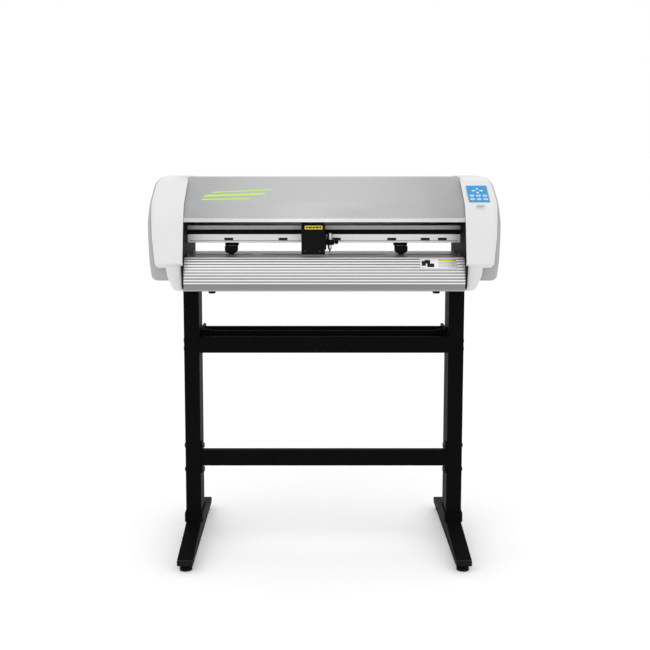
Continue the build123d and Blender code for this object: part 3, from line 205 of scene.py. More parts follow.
class Finish:
    """A procedural material on a Principled shader."""

    def __init__(self, name):
        self.material = bpy.data.materials.new(name)
        self.material.use_nodes = True
        self.tree = self.material.node_tree
        self.shader = self.tree.nodes["Principled BSDF"]

    def plug(self, socket, value):
        if isinstance(value, Wire):
            self.tree.links.new(value.socket, socket)
        else:
            socket.default_value = value

    def node(self, kind, settings=None, sockets=None, out=0):
        made = self.tree.nodes.new("ShaderNode" + kind)
        for name, value in (settings or {}).items():
            setattr(made, name, value)
        for name, value in (sockets or {}).items():
            self.plug(made.inputs[name], value)
        return Wire(self, made.outputs[out])

    def place(self, scale=(1, 1, 1)):
        """Object coordinates, stretched by a Mapping node."""
        spot = self.node("TexCoord", out="Object")
        return self.node("Mapping", sockets={"Vector": spot, "Scale": scale})

    def axis(self, letter):
        """One Object coordinate as a number, in metres."""
        spot = self.node("TexCoord", out="Object")
        return self.node("SeparateXYZ", sockets={0: spot}, out=letter)

    def noise(self, size, stretch=(1, 1, 1), detail=3.0):
        """Cloudy noise with features about this many metres across."""
        return self.node(
            "TexNoise",
            sockets={
                "Vector": self.place(stretch),
                "Scale": 1 / size,
                "Detail": detail,
                "Roughness": 0.5,
            },
        )

    def blend(self, share, first, second):
        """A colour that goes from the first to the second."""
        return self.node(
            "Mix", {"data_type": "RGBA"}, {0: share, 6: first, 7: second}, out=2
        )

    def bump(self, height, depth):
        """A normal from a height, with its depth in metres."""
        return self.node(
            "Bump", sockets={"Height": height, "Distance": depth, "Strength": 1.0}
        )

    def paint(self, **sockets):
        """Values or links for the shader's sockets, with _ for each space in a name."""
        for name, value in sockets.items():
            self.plug(self.shader.inputs[name.replace("_", " ")], value)
        return self.material


def grey(value, tint=(1.0, 1.0, 1.0)):
    """An opaque near-grey colour."""
    return (value * tint[0], value * tint[1], value * tint[2], 1.0)


finishes = {}
print("finish kit ready")

# %% [markdown]
# ## Powder coat
# The stand is steel tube with a baked black powder coat. Up close such a coat is not flat
# but covered in soft dimples, a millimetre or two across. A fine noise drives a shallow
# bump, and a slow one varies the gloss a little, as hands and packing do.


# %% Black powder coat
def powder_coat(name, colour, gloss):
    coat = Finish(name)
    dimples = coat.noise(0.0016, detail=1.0)
    handling = coat.noise(0.12, detail=2.0)
    return coat.paint(
        Base_Color=coat.blend(handling, grey(colour), grey(colour * 1.5)),
        Roughness=gloss + 0.12 * handling,
        IOR=1.06,
        Normal=coat.bump(dimples, 0.00012),
    )


finishes["stand_black"] = powder_coat("stand_black", 0.0034, 0.42)
finishes["frame_dark"] = powder_coat("frame_dark", 0.011, 0.45)
finishes["motor_black"] = powder_coat("motor_black", 0.02, 0.4)
print("powder coats", len(finishes))

# %% [markdown]
# ## Moulded plastic and rubber
# The end covers are injection moulded. Their skin has a fine spark-eroded texture from the
# mould, a faint cloudiness, and no metal in it. Black trim uses the same skin, and rubber
# is the same again but duller and softer.


# %% Moulded finishes
def moulded(name, colour, gloss, grain=0.0007, depth=0.00002, tint=(1, 1, 1), sheen=0.45):
    skin = Finish(name)
    spark = skin.noise(grain, detail=2.0)
    cloud = skin.noise(0.16, detail=1.0)
    return skin.paint(
        Base_Color=skin.blend(cloud, grey(colour * 0.975, tint), grey(colour, tint)),
        Roughness=gloss + 0.08 * spark,
        Specular_IOR_Level=sheen,
        Normal=skin.bump(spark, depth),
    )


MOULDINGS = {
    "cover_white": (0.70, 0.34, {"tint": (1.0, 1.005, 0.995)}),
    # The nose is the covers' white plastic, darkened as painted shade under the panel's
    # overhang.
    "nose_painted_shade": (0.67, 0.38, {}),
    # The flank's grey is partly its own silver-grey tone and partly painted shade for the
    # set-back flank.
    "flank_silver": (0.4, 0.4, {"tint": (1.0, 1.0, 0.99), "sheen": 0.3}),
    "trim_black": (0.005, 0.42, {"depth": 0.00004, "sheen": 0.1}),
    "carriage_black": (0.005, 0.4, {"depth": 0.00004, "sheen": 0.05}),
    "rubber_black": (0.005, 0.72, {"grain": 0.0012, "depth": 0.00008, "sheen": 0.15}),
    "belt_rubber": (0.004, 0.66, {"grain": 0.0009, "depth": 0.00006, "sheen": 0.1}),
    "key_white": (0.78, 0.3, {"tint": (0.86, 0.97, 1.0)}),
    "keypad_blue": (0.56, 0.3, {"grain": 0.0005, "tint": (0.015, 0.5, 1.1)}),
    "supply_case": (0.5, 0.4, {}),
    "board_green": (0.2, 0.35, {"grain": 0.003, "tint": (0.1, 1.0, 0.4)}),
}
for name, (colour, gloss, more) in MOULDINGS.items():
    finishes[name] = moulded(name, colour, gloss, **more)
print("moulded", len(MOULDINGS))

# %% [markdown]
# ## Metals
# The rail, the platen and the apron are drawn aluminium. Drawing leaves fine lines along
# their length, so a noise stretched along X drives the roughness and a very shallow bump.
# Rolled sheet and turned steel use the same idea with other proportions.


# %% Drawn and rolled metal
DRAW_LINE = 0.0006
DRAW_STRETCH = 0.012
DRAW_DEPTH = 0.00001


def drawn_metal(name, colour, gloss, metal=1.0, along=DRAW_STRETCH):
    drawn = Finish(name)
    lines = drawn.noise(DRAW_LINE, stretch=(along, 1, 1))
    haze = drawn.noise(0.09, stretch=(0.4, 1, 1), detail=2.0)
    shade = 0.6 * lines + 0.4 * haze
    return drawn.paint(
        Base_Color=drawn.blend(shade, grey(colour * 0.9), grey(colour, (1.0, 1.003, 1.0))),
        Metallic=metal,
        Roughness=gloss + 0.14 * lines,
        Normal=drawn.bump(lines, DRAW_DEPTH),
    )


METALS = {
    "bare_aluminium": (0.78, 0.26, {"metal": 0.82}),
    "platen_aluminium": (0.4, 0.34, {"metal": 0.8}),
    "sheet_steel": (0.42, 0.42, {"metal": 0.8}),
    "steel": (0.55, 0.24, {"along": 0.1}),
    "tool_metal": (0.7, 0.22, {"along": 1.0}),
    "bolt_steel": (0.07, 0.38, {"along": 1.0}),
    "pulley_aluminium": (0.66, 0.3, {"along": 1.0}),
}
for name, (colour, gloss, more) in METALS.items():
    finishes[name] = drawn_metal(name, colour, gloss, **more)

grit = Finish("grit_steel")
grains = grit.node(
    "TexVoronoi", {"feature": "F1"}, {"Vector": grit.place(), "Scale": 1400.0}
)
finishes["grit_steel"] = grit.paint(
    Base_Color=grit.blend(grains, grey(0.5), grey(0.22)),
    Metallic=0.9,
    Roughness=0.5 + 0.3 * grains,
    Normal=grit.bump(1 - grains, 0.0003),
)
print("metals", len(METALS) + 1)

# %% [markdown]
# ## Flutes and channels
# The apron is a fluted extrusion that bends round an arc, and the rail has a channel for
# its belt. Painted shade darkens the apron's flutes, the rail's channel and the rail's face
# above the channel. All follow from where a point lies on the object. The angle round the
# arc gives the flutes, and the height gives the darker foot of the apron, the rail's
# channel and the face above it.

# %% Apron
ARC_Y = -58.7
ARC_Z = 745.0
ARC_RADIUS = 89.3
FLUTE_PITCH = math.radians(45.8 / 9)
FLUTE_FIRST = math.radians(41.8)
FOOT_Z = 741.5 * MM
FLUTES_TOP_Z = 807.5 * MM

apron = Finish("apron_aluminium")
rise = apron.axis("Z") - ARC_Z * MM
angle = rise.sum("ARCTAN2", rise, ARC_Y * MM - apron.axis("Y"))
from_flute = angle.sum("PINGPONG", (angle - FLUTE_FIRST) * (1 / FLUTE_PITCH), 0.5)
# Painted shade: the flute lines are darkened in colour, besides their bump and roughness.
groove_shade = apron.node(
    "MapRange",
    {"interpolation_type": "SMOOTHSTEP"},
    {"Value": from_flute, "From Min": 0.08, "From Max": 0.22, "To Min": 1.0, "To Max": 0.0},
)
on_arc = (apron.axis("Z") > FOOT_Z) * (apron.axis("Z") < FLUTES_TOP_Z)
groove_shade = groove_shade * on_arc
foot = apron.axis("Z") < FOOT_Z
streaks = apron.noise(DRAW_LINE, stretch=(DRAW_STRETCH, 1, 1))
face = apron.blend(streaks, grey(0.74), grey(0.86))
face = apron.blend(foot, face, grey(0.24))
finishes["apron_aluminium"] = apron.paint(
    Base_Color=apron.blend(groove_shade, face, grey(0.16)),
    Metallic=0.7,
    Roughness=0.3 + 0.1 * streaks + 0.3 * groove_shade,
    Normal=apron.bump(1 - groove_shade, 0.0008),
)
print("flute pitch in degrees", round(math.degrees(FLUTE_PITCH), 2))

# %% Rail and print colours
CHANNEL_LOW = 863.6 * MM
CHANNEL_HIGH = 876.6 * MM
rail = Finish("rail_aluminium")
drawing = rail.noise(DRAW_LINE, stretch=(DRAW_STRETCH, 1, 1))
# Painted shade: the face above the channel is greyed for the shadow under the top cover,
# and the channel is painted black for the shade inside it.
shade_above_channel = rail.axis("Z") > CHANNEL_HIGH
channel_shade = (rail.axis("Z") > CHANNEL_LOW) * (rail.axis("Z") < CHANNEL_HIGH)
silver_face = rail.blend(drawing, grey(0.82), grey(0.94))
silver_face = rail.blend(shade_above_channel, silver_face, grey(0.4))
finishes["rail_aluminium"] = rail.paint(
    Base_Color=rail.blend(channel_shade, silver_face, grey(0.004)),
    Metallic=0.6 - 0.6 * channel_shade,
    Roughness=0.32 + 0.1 * drawing + 0.4 * channel_shade,
    Normal=rail.bump(drawing, DRAW_DEPTH),
)
PRINT_COLOURS = {
    "mark_lime": (0.8, 0.4, {"tint": (0.62, 1.0, 0.1)}),
    "mark_yellow": (0.75, 0.4, {"tint": (1.0, 0.86, 0.05)}),
    "mark_black": (0.01, 0.5, {"sheen": 0.2}),
    "mark_white": (0.85, 0.45, {}),
    "mark_grey": (0.42, 0.45, {}),
    "mark_blue": (0.5, 0.4, {"tint": (0.04, 0.42, 0.9)}),
}
for name, (colour, gloss, more) in PRINT_COLOURS.items():
    finishes[name] = moulded(name, colour, gloss, **more)
print("finishes", len(finishes))

# %% [markdown]
# ## The painted cover
# The long cover is sheet metal with silver-grey paint that holds fine metal flake. Flake is
# a very fine noise in the roughness and colour. Along its lower edge the folded lip is
# paler, which the shader finds from the height of the point on the object.

# %% Silver paint
silver = Finish("cover_silver")
flake = silver.noise(0.0005, detail=1.0)
drift = silver.noise(0.3, detail=1.0)
LIP_TOP_Z = 913 * MM
FRONT_Y = -100 * MM
on_lip = silver.axis("Z") < LIP_TOP_Z
at_front = silver.axis("Y") < FRONT_Y
lip = on_lip * at_front
body_colour = silver.blend(
    0.6 * flake + 0.4 * drift,
    grey(0.44, (0.99, 1.0, 0.995)),
    grey(0.51, (0.985, 1.0, 0.995)),
)
finishes["cover_silver"] = silver.paint(
    Base_Color=silver.blend(lip, body_colour, grey(0.72)),
    Metallic=0.25,
    Roughness=0.34 + 0.1 * flake,
    Coat_Weight=0.15,
    Normal=silver.bump(flake, 0.00001),
)

# %% Paint every part from the frame
OWN_FINISH = {
    "apron": "apron_aluminium",
    "platen": "platen_aluminium",
    "rear_guide": "platen_aluminium",
    "guide_rail": "rail_aluminium",
    "stand_bolts": "bolt_steel",
}
for name, node in nodes.items():
    plain = node.data.materials[0].name.split(".")[0]
    node.data.materials[0] = finishes[OWN_FINISH.get(name, plain)]
sheet_finish = Finish("studio_white")
studio_sheet.data.materials.append(
    sheet_finish.paint(
        Base_Color=grey(0.88),
        Roughness=0.9,
        Specular_IOR_Level=0.0,
        Emission_Color=grey(1.0),
        Emission_Strength=0.12,
    )
)
print("painted", len(nodes))

# %% [markdown]
# ## Making pieces
# New pieces are drawn in millimetres and scaled once at the end. Each one takes a finish
# and rides on a body of the frame.


# %% Piece helper
CREASE = 32


def piece(name, bm, finish, body, wall=0.0):
    """A finished object from a bmesh in millimetres, sharp where it bends past CREASE."""
    bmesh.ops.scale(bm, vec=(MM, MM, MM), verts=bm.verts[:])
    mesh = bpy.data.meshes.new(name)
    bm.to_mesh(mesh)
    bm.free()
    mesh.polygons.foreach_set("use_smooth", [True] * len(mesh.polygons))
    mesh.set_sharp_from_angle(angle=math.radians(CREASE))
    mesh.materials.append(finish)
    made = bpy.data.objects.new(name, mesh)
    scene.collection.objects.link(made)
    if wall:
        skin = made.modifiers.new("wall", "SOLIDIFY")
        skin.thickness = wall * MM
        skin.offset = -1
        skin.use_even_offset = True
    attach(made, body)
    return made


print("piece helper ready")

# %% [markdown]
# ## The end covers
# Each end cover is a moulded shell in three steps: a broad front panel with a bevelled
# border, a flank set back behind it, and a narrow nose below. A shell like this could be
# cut from a solid, but its soft edges are what the eye reads. So each step starts as a flat
# slab with its rim bevelled, is sliced at many heights, and is then pushed back until its
# front follows the curve of the machine. The curve is the outline of the machine seen from
# its end, drawn once with its corners rounded, and read by casting rays at it.

# %% Rounded slabs
def rounded_face(bm, corners, radii):
    """A flat face in XZ whose corners are rounded one by one."""
    verts = [bm.verts.new((x, 0, z)) for x, z in corners]
    bm.faces.new(verts)
    count = len(corners)
    for index, radius in enumerate(radii):
        if not radius:
            continue
        here = Vector(corners[index])
        before = Vector(corners[index - 1]) - here
        after = Vector(corners[(index + 1) % count]) - here
        bmesh.ops.bevel(
            bm,
            geom=[verts[index]],
            offset=radius / math.tan(before.angle(after) / 2),
            segments=8,
            profile=0.5,
            affect="VERTICES",
            material=-1,
        )


print("rounded faces ready")

# %% Section of the machine
# Depth and height over the underside, with the radius of each corner, in millimetres.
SHOULDER = (-119.5, 227)
CREST = (-12.7, 297)
SECTION = [
    (-146, 0), (-164.5, 76), (-140, 181), SHOULDER, CREST, (116, 297), (116, 40), (100, 0)
]
SECTION_RADII = [14, 40, 80, 55, 8, 16, 14, 8]
PROBE_DEPTH = 10
MACHINE = "machine_and_stand"
cover_low, cover_high = (Vector(v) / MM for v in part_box("right_end_cover"))
frame_face, under_z = cover_low.x, cover_low.z
crest = cover_high.z - under_z

probe = bmesh.new()
rounded_face(probe, SECTION, SECTION_RADII)
pushed = bmesh.ops.extrude_face_region(probe, geom=probe.faces[:])
bmesh.ops.translate(probe, verts=new_verts(pushed), vec=(0, PROBE_DEPTH, 0))
section_tree = BVHTree.FromBMesh(probe)
probe.free()
curves = {1: {}, -1: {}}


def curve_depth(height, direction):
    """Depth of the machine's skin at a height: 1 for its front, -1 for its rear."""
    key = round(height, 3)
    if key not in curves[direction]:
        level = min(max(height, 0.4), crest - 0.4)
        hit = section_tree.ray_cast(
            Vector((-500 * direction, PROBE_DEPTH / 2, level)), Vector((direction, 0, 0))
        )[0]
        curves[direction][key] = hit.x
    return curves[direction][key]


print("front", [round(curve_depth(h, 1), 1) for h in (0, 76, 181, 227, crest)])


# %% Slabs
def rim(bm, depth, inner=False):
    """Edges of a slab's rim at a depth: the open inner side, or all the others."""
    return [
        e
        for e in bm.edges
        if all(abs(v.co.y - depth) < NEAR for v in e.verts)
        and (e.verts[0].co.x + e.verts[1].co.x < NEAR) == inner
        and any(abs(f.normal.y) < 0.5 for f in e.link_faces)
    ]


def bevel_rim(bm, edges, offset, segments):
    bmesh.ops.bevel(
        bm,
        geom=edges,
        offset=offset,
        segments=segments,
        profile=0.5,
        affect="EDGES",
        clamp_overlap=True,
        material=-1,
    )


def cover_slab(corners, radii, depth):
    """A flat slab with its front at depth 0 and its back at depth."""
    bm = bmesh.new()
    rounded_face(bm, corners, radii)
    pushed = bmesh.ops.extrude_face_region(bm, geom=bm.faces[:])
    bmesh.ops.translate(bm, verts=new_verts(pushed), vec=(0, depth, 0))
    bmesh.ops.recalc_face_normals(bm, faces=bm.faces[:])
    bm.normal_update()
    return bm


def slice_at(bm, points, normal):
    for point in points:
        geom = bm.verts[:] + bm.edges[:] + bm.faces[:]
        bmesh.ops.bisect_plane(bm, geom=geom, dist=1e-5, plane_co=point, plane_no=normal)


def drop_faces(bm, picks):
    gone = [f for f in bm.faces if picks(f)]
    bmesh.ops.delete(bm, geom=gone, context="FACES")


def wrap(bm, depth=None, set_back=0.0, rear_gap=0.0):
    """Pushes a slab back until it follows the front curve.

    With a depth, the slab's rear half follows the rear curve instead.
    """
    for vert in bm.verts:
        if depth is None or vert.co.y < depth / 2:
            vert.co.y += curve_depth(vert.co.z, 1) + set_back
        else:
            vert.co.y += curve_depth(vert.co.z, -1) - rear_gap - depth


def stand_in_place(bm, side):
    """Moves a wrapped slab from widths and heights to its end of the machine."""
    bmesh.ops.translate(bm, verts=bm.verts[:], vec=(frame_face, 0, under_z))
    if side < 0:
        bmesh.ops.scale(bm, vec=(-1, 1, 1), verts=bm.verts[:])
        bmesh.ops.reverse_faces(bm, faces=bm.faces[:])


# Close slices at the foot and the crest, where the curve is tight, and wide ones between.
slice_heights = list(range(2, 16, 2))
slice_heights += range(18, 282, 5)
slice_heights += [282 + 1.5 * h for h in range(10)]


def slice_finely(bm):
    slice_at(bm, [(0, 0, h) for h in slice_heights], (0, 0, 1))


print("slices", len(slice_heights))

# %% The three steps of a cover
PANEL = [(0, 63), (72, 63), (82, 141), (87, 227), (84, 297), (0, 297)]
PANEL_RADII = [0, 14, 120, 60, 25, 0]
FLANK = [(0, 25), (87, 25), (96.5, 141), (98, 181), (92, 296.4), (0, 296.4)]
FLANK_RADII = [0, 16, 200, 120, 28, 0]
NOSE_TOP = 80
NOSE = [(0, 0), (26, 0), (43, 40), (47, NOSE_TOP), (0, NOSE_TOP)]
NOSE_RADII = [0, 14, 60, 0, 0]
SKIN = 2.5
PANEL_DEPTH = 31.0
FLANK_SET_BACK = 28.0
NOSE_SET_BACK = 7.0
BACK = 70.0
BORDER = 11.5
BORDER_EDGE = 1.3
PANEL_INNER_EDGE = 1.0
FLANK_FRONT_EDGE = 13.0
FLANK_REAR_EDGE = 5.0
NOSE_EDGE = 6.0
KEY_WINDOW = (15.0, 65.0, 233.0, 271.4)
INLET_WINDOW = (35.0, 63.0, 88.5, 141.5)


def cut_window(bm, window, picks):
    """Cuts a rectangular window of widths and heights out of the faces picked."""
    left, right, low, high = window
    slice_at(bm, [(left, 0, 0), (right, 0, 0)], (1, 0, 0))
    slice_at(bm, [(0, 0, low), (0, 0, high)], (0, 0, 1))

    def inside(face):
        middle = face.calc_center_median()
        return left < middle.x < right and low < middle.z < high and picks(face)

    drop_faces(bm, inside)


def open_inner_side(bm):
    """Drops the side of a slab that lies against the machine's side frame."""
    drop_faces(bm, lambda f: all(v.co.x < NEAR for v in f.verts))


def cover_shell(name, bm, finish):
    return piece(name, bm, finishes[finish], MACHINE, wall=SKIN)


def cover_pieces(side):
    """Panel, flank and nose of one end cover; side is 1 on the right, -1 on the left."""
    name = "right" if side > 0 else "left"

    panel = cover_slab(PANEL, PANEL_RADII, PANEL_DEPTH)
    bevel_rim(panel, rim(panel, 0.0), BORDER, 1)
    panel.normal_update()
    crisp = [
        e
        for e in panel.edges
        if len(e.link_faces) == 2
        and e.calc_face_angle() > 0.5
        and max(v.co.y for v in e.verts) < BORDER + 0.1
        and max(abs(v.co.x) for v in e.verts) > 0.1
    ]
    bevel_rim(panel, crisp, BORDER_EDGE, 3)
    bevel_rim(panel, rim(panel, 0.0, inner=True), PANEL_INNER_EDGE, 2)
    slice_finely(panel)
    if side > 0:
        cut_window(panel, KEY_WINDOW, lambda f: f.calc_center_median().y < NEAR)
    open_inner_side(panel)
    drop_faces(panel, lambda f: all(v.co.y > PANEL_DEPTH - NEAR for v in f.verts))
    wrap(panel)
    stand_in_place(panel, side)
    front = cover_shell(name + "_cover_panel", panel, "cover_white")

    flank = cover_slab(FLANK, FLANK_RADII, BACK)
    bevel_rim(flank, rim(flank, 0.0), FLANK_FRONT_EDGE, 6)
    bevel_rim(flank, rim(flank, BACK), FLANK_REAR_EDGE, 3)
    slice_finely(flank)
    if side < 0:
        cut_window(flank, INLET_WINDOW, lambda f: f.calc_center_median().y > BACK - NEAR)
    open_inner_side(flank)
    wrap(flank, BACK, set_back=FLANK_SET_BACK)
    stand_in_place(flank, side)
    # The flank takes the grey that is partly painted shade.
    cover_shell(name + "_cover_flank", flank, "flank_silver")

    nose = cover_slab(NOSE, NOSE_RADII, BACK)
    nose_rim = [e for e in rim(nose, 0.0) if min(v.co.z for v in e.verts) < NOSE_TOP - 1]
    bevel_rim(nose, nose_rim, NOSE_EDGE, 5)
    slice_finely(nose)
    open_inner_side(nose)
    drop_faces(nose, lambda f: all(v.co.z > NOSE_TOP - NEAR for v in f.verts))
    wrap(nose, BACK, set_back=NOSE_SET_BACK, rear_gap=1.0)
    stand_in_place(nose, side)
    # The nose takes the white plastic darkened with painted shade.
    cover_shell(name + "_cover_nose", nose, "nose_painted_shade")
    return front


for side, cover in ((1, "right_end_cover"), (-1, "left_end_cover")):
    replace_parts(cover_pieces(side), cover)

# %% [markdown]
# ## The top cover
# The top cover is one bent sheet. Its outline is the machine's section, moved inwards by
# the depth at which the sheet sits. Only the part from the front lip over the top to the
# rear edge is kept, pulled out along X and given its thickness.

# %% Bent sheet
COVER_INSET = 1.5
COVER_SHEET = 2.0
LIP_HEIGHT_OVER = 181.0
REAR_EDGE_OVER = 130.0
HEM_DEPTH = 5.0
HEM_HEIGHT = 11.0
CUT_LENGTH = 150

sheet = bmesh.new()
rounded_face(sheet, SECTION, SECTION_RADII)
bmesh.ops.recalc_face_normals(sheet, faces=sheet.faces[:])
bmesh.ops.inset_region(
    sheet, faces=sheet.faces[:], thickness=COVER_INSET, use_boundary=True
)
inner = max(sheet.faces, key=lambda f: len(f.verts))
drop_faces(sheet, lambda f: f is not inner)
slice_at(sheet, [(0, 0, LIP_HEIGHT_OVER), (0, 0, REAR_EDGE_OVER)], (0, 0, 1))
bmesh.ops.delete(sheet, geom=sheet.faces[:], context="FACES_ONLY")


def below_the_cover(edge):
    """True for an edge under the cover's two ends, or one of the long cuts across."""
    middle = (edge.verts[0].co + edge.verts[1].co) / 2
    across = abs(edge.verts[0].co.x - edge.verts[1].co.x) > CUT_LENGTH
    return across or middle.z < (LIP_HEIGHT_OVER if middle.x < 0 else REAR_EDGE_OVER)


gone = [e for e in sheet.edges if below_the_cover(e)]
bmesh.ops.delete(sheet, geom=gone, context="EDGES")
hem = min((v for v in sheet.verts if v.co.x < 0), key=lambda v: v.co.z)
fold = hem
for step in ((HEM_DEPTH, 0, 0), (0, 0, HEM_HEIGHT)):
    folded = bmesh.ops.extrude_vert_indiv(sheet, verts=[fold])
    fold = folded["verts"][0]
    bmesh.ops.translate(sheet, verts=[fold], vec=step)
# The outline was drawn facing the front, so it is turned to face the end of the machine.
quarter_turn = Matrix.Rotation(math.radians(90), 3, "Z")
bmesh.ops.rotate(sheet, matrix=quarter_turn, verts=sheet.verts[:])
bmesh.ops.translate(sheet, verts=sheet.verts[:], vec=(-frame_face, 0, under_z))
pulled = bmesh.ops.extrude_edge_only(sheet, edges=sheet.edges[:])
bmesh.ops.translate(sheet, verts=new_verts(pulled), vec=(2 * frame_face, 0, 0))
bmesh.ops.recalc_face_normals(sheet, faces=sheet.faces[:])
top = max(sheet.faces, key=lambda f: f.calc_center_median().z)
if top.normal.z < 0:
    bmesh.ops.reverse_faces(sheet, faces=sheet.faces[:])
cover_sheet = piece(
    "cover_sheet",
    sheet,
    finishes["cover_silver"],
    MACHINE,
    wall=COVER_SHEET,
)
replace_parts(cover_sheet, "top_cover")
print("sheet", len(cover_sheet.data.polygons))

# %% [markdown]
# ## Marks and labels
# Printed marks are thin plates, about a tenth of a millimetre thick, that sit on the
# surface below them. They are drawn flat and then carried to it by one matrix.


# %% Plates
def plates(name, shapes, place, finish, body, thick=0.12):
    """Flat rounded shapes in one piece; each is a list of corners and one radius."""
    bm = bmesh.new()
    for corners, radius in shapes:
        rounded_face(bm, corners, [radius] * len(corners))
    bmesh.ops.recalc_face_normals(bm, faces=bm.faces[:])
    pushed = bmesh.ops.extrude_face_region(bm, geom=bm.faces[:])
    bmesh.ops.translate(bm, verts=new_verts(pushed), vec=(0, -thick, 0))
    bmesh.ops.recalc_face_normals(bm, faces=bm.faces[:])
    bm.transform(place)
    piece(name, bm, finishes[finish], body)


def bar(left, low, right, high):
    return [(left, low), (right, low), (right, high), (left, high)]


print("plates ready")

# %% Marks on the cover, the rail and the carriage
SLOPE = math.degrees(math.atan2(CREST[1] - SHOULDER[1], CREST[0] - SHOULDER[0]))
lean = Matrix.Rotation(math.radians(SLOPE - 90), 4, "X")
shoulder = Matrix.Translation((0, SHOULDER[0], under_z + SHOULDER[1]))
on_slope = shoulder @ lean @ Matrix.Translation((0, COVER_INSET, 0))
stripes = [
    ([(-300, 52), (-140, 65), (-132, 69), (-292, 57)], 1.0),
    ([(-322, 34), (-162, 45), (-150, 52), (-310, 43)], 1.0),
    ([(-326, 20), (-200, 24), (-192, 28), (-318, 26)], 1.0),
]
plates("cover_stripes", stripes, on_slope, "mark_lime", MACHINE)

RAIL_FRONT_Y = -50.0
on_rail = Matrix.Translation((0, RAIL_FRONT_Y, 0))
dash_places = (-256, -110, 33, 182, 272, 318)
dashes = [(bar(x - 12, 847.4, x + 12, 854.2), 0.5) for x in dash_places]
plates("rail_marks", dashes, on_rail, "mark_black", MACHINE, thick=0.1)
# A thin black strip paints the shade in the groove along the rail's lower edge.
groove_shade_strip = [(bar(-360, 845.2, 360, 846.6), 0.0)]
plates("rail_groove_shade", groove_shade_strip, on_rail, "mark_black", MACHINE, thick=0.08)

CARRIAGE_FRONT_Y = -125.0
LABEL_THICK = 0.12
FACE_THICK = 0.8


def carriage_plates(name, shapes, lift, finish, thick=LABEL_THICK):
    """Plates on the front of the carriage, lifted off it by what lies below them."""
    place = Matrix.Translation((0, CARRIAGE_FRONT_Y - lift, 0))
    plates(name, shapes, place, finish, "carriage", thick=thick)


carriage_plates("carriage_label", [(bar(-51, 882.5, -5, 892), 0.8)], 0, "mark_yellow")
words = ((-48, 5), (-41, 8), (-31, 6), (-23, 8), (-13, 5))
words = [(bar(x, 885, x + width, 889.5), 0.3) for x, width in words]
carriage_plates("carriage_label_bars", words, LABEL_THICK, "mark_black")
face_plate = [(bar(-55, 820, -7, 878), 3.0)]
carriage_plates("carriage_face", face_plate, 0, "carriage_black", thick=FACE_THICK)
screws = [(bar(x - 2, 823, x + 2, 827), 1.99) for x in (-50, -12)]
carriage_plates("carriage_screws", screws, FACE_THICK, "bolt_steel", thick=0.6)
print("stripes", len(stripes), "dashes", len(dashes), "screws", len(screws))


# %% Label on the apron
def arc_patch(name, boxes, lift, finish):
    """Patches on the apron's arc; each box is left, low angle, right, high angle."""
    bm = bmesh.new()
    for left, low, right, high in boxes:
        reach = ARC_RADIUS + lift
        start = math.radians(low)
        y = ARC_Y - reach * math.cos(start)
        z = ARC_Z + reach * math.sin(start)
        edge = bm.edges.new([bm.verts.new((left, y, z)), bm.verts.new((right, y, z))])
        bmesh.ops.spin(
            bm,
            geom=[edge],
            cent=(0, ARC_Y, ARC_Z),
            axis=(-1, 0, 0),
            angle=math.radians(high - low),
            steps=10,
            use_merge=False,
        )
    bmesh.ops.recalc_face_normals(bm, faces=bm.faces[:])
    facing = [f for f in bm.faces if f.normal.y > 0]
    bmesh.ops.reverse_faces(bm, faces=facing)
    piece(name, bm, finishes[finish], MACHINE, wall=0.05)


LABEL_LIFT = 0.15
PRINT_LIFT = 0.25
arc_patch("apron_label", [(249.5, 23.8, 345, 42.2)], LABEL_LIFT, "mark_white")
arc_patch("apron_label_bar", [(297, 37.5, 344, 41.5)], PRINT_LIFT, "mark_yellow")
blocks = [(254, 29, 264, 38), (262, 33, 276, 40), (268, 26.5, 286, 33)]
arc_patch("apron_label_blocks", blocks, PRINT_LIFT, "mark_black")
lines = [(297, angle, 340, angle + 0.9) for angle in (34.5, 32, 29.5, 27)]
arc_patch("apron_label_lines", lines, PRINT_LIFT, "mark_grey")
print("label blocks", len(blocks), "lines", len(lines))

# %% [markdown]
# ## Keypad marks
# Each function key carries a small blue sign of its own: bars, blocks and a triangle that
# stand for no language. The signs ride on the keys, so they go down when a key is pressed.

# %% Key signs
KEYPAD_PLACE = (406.0, -81.0, 973.2)
KEY_TOP = 1.4
KEY_PITCH = 17.2
UPPER_ROW, LOWER_ROW = -10.0, -25.5
on_keypad = Matrix.Translation(KEYPAD_PLACE) @ lean @ Matrix.Translation((0, -KEY_TOP, 0))
SOFT = 0.3
key_signs = {
    "size": (-1, UPPER_ROW, [
        (bar(-3.4, -1.8, -0.6, 1.8), SOFT), (bar(0.8, -1.0, 3.2, 1.0), SOFT)]),
    "set": (0, UPPER_ROW, [(bar(-2.0, -1.9, 2.0, 1.9), 1.2)]),
    "speed": (1, UPPER_ROW, [
        (bar(-3.2, -1.9, 3.2, -0.7), SOFT), (bar(-1.6, 0.4, 3.2, 1.6), SOFT)]),
    "origin": (-1, LOWER_ROW, [([(-3.0, -1.8), (3.0, -1.8), (0, 2.2)], SOFT)]),
    "test": (0, LOWER_ROW, [
        (bar(-3.4, -1.8, -1.0, 1.8), SOFT), (bar(1.0, -1.8, 3.4, 1.8), SOFT)]),
    "enter": (1, LOWER_ROW, [
        (bar(-3.2, -0.8, 3.2, 0.8), SOFT), (bar(-0.8, -2.2, 0.8, 2.2), SOFT)]),
}
for key, (column, row, shapes) in key_signs.items():
    moved = [
        ([(x + column * KEY_PITCH, z + row) for x, z in corners], radius)
        for corners, radius in shapes
    ]
    plates(
        "sign_" + key, moved, on_keypad, "mark_blue", key + "_key", thick=0.1
    )
badge = [(bar(395, -10, 417, -4.5), 2.6)]
on_panel = shoulder @ lean @ Matrix.Translation((0, 0.3, 0))
plates("panel_badge", badge, on_panel, "mark_grey", MACHINE, thick=0.8)
print("signs", len(key_signs))

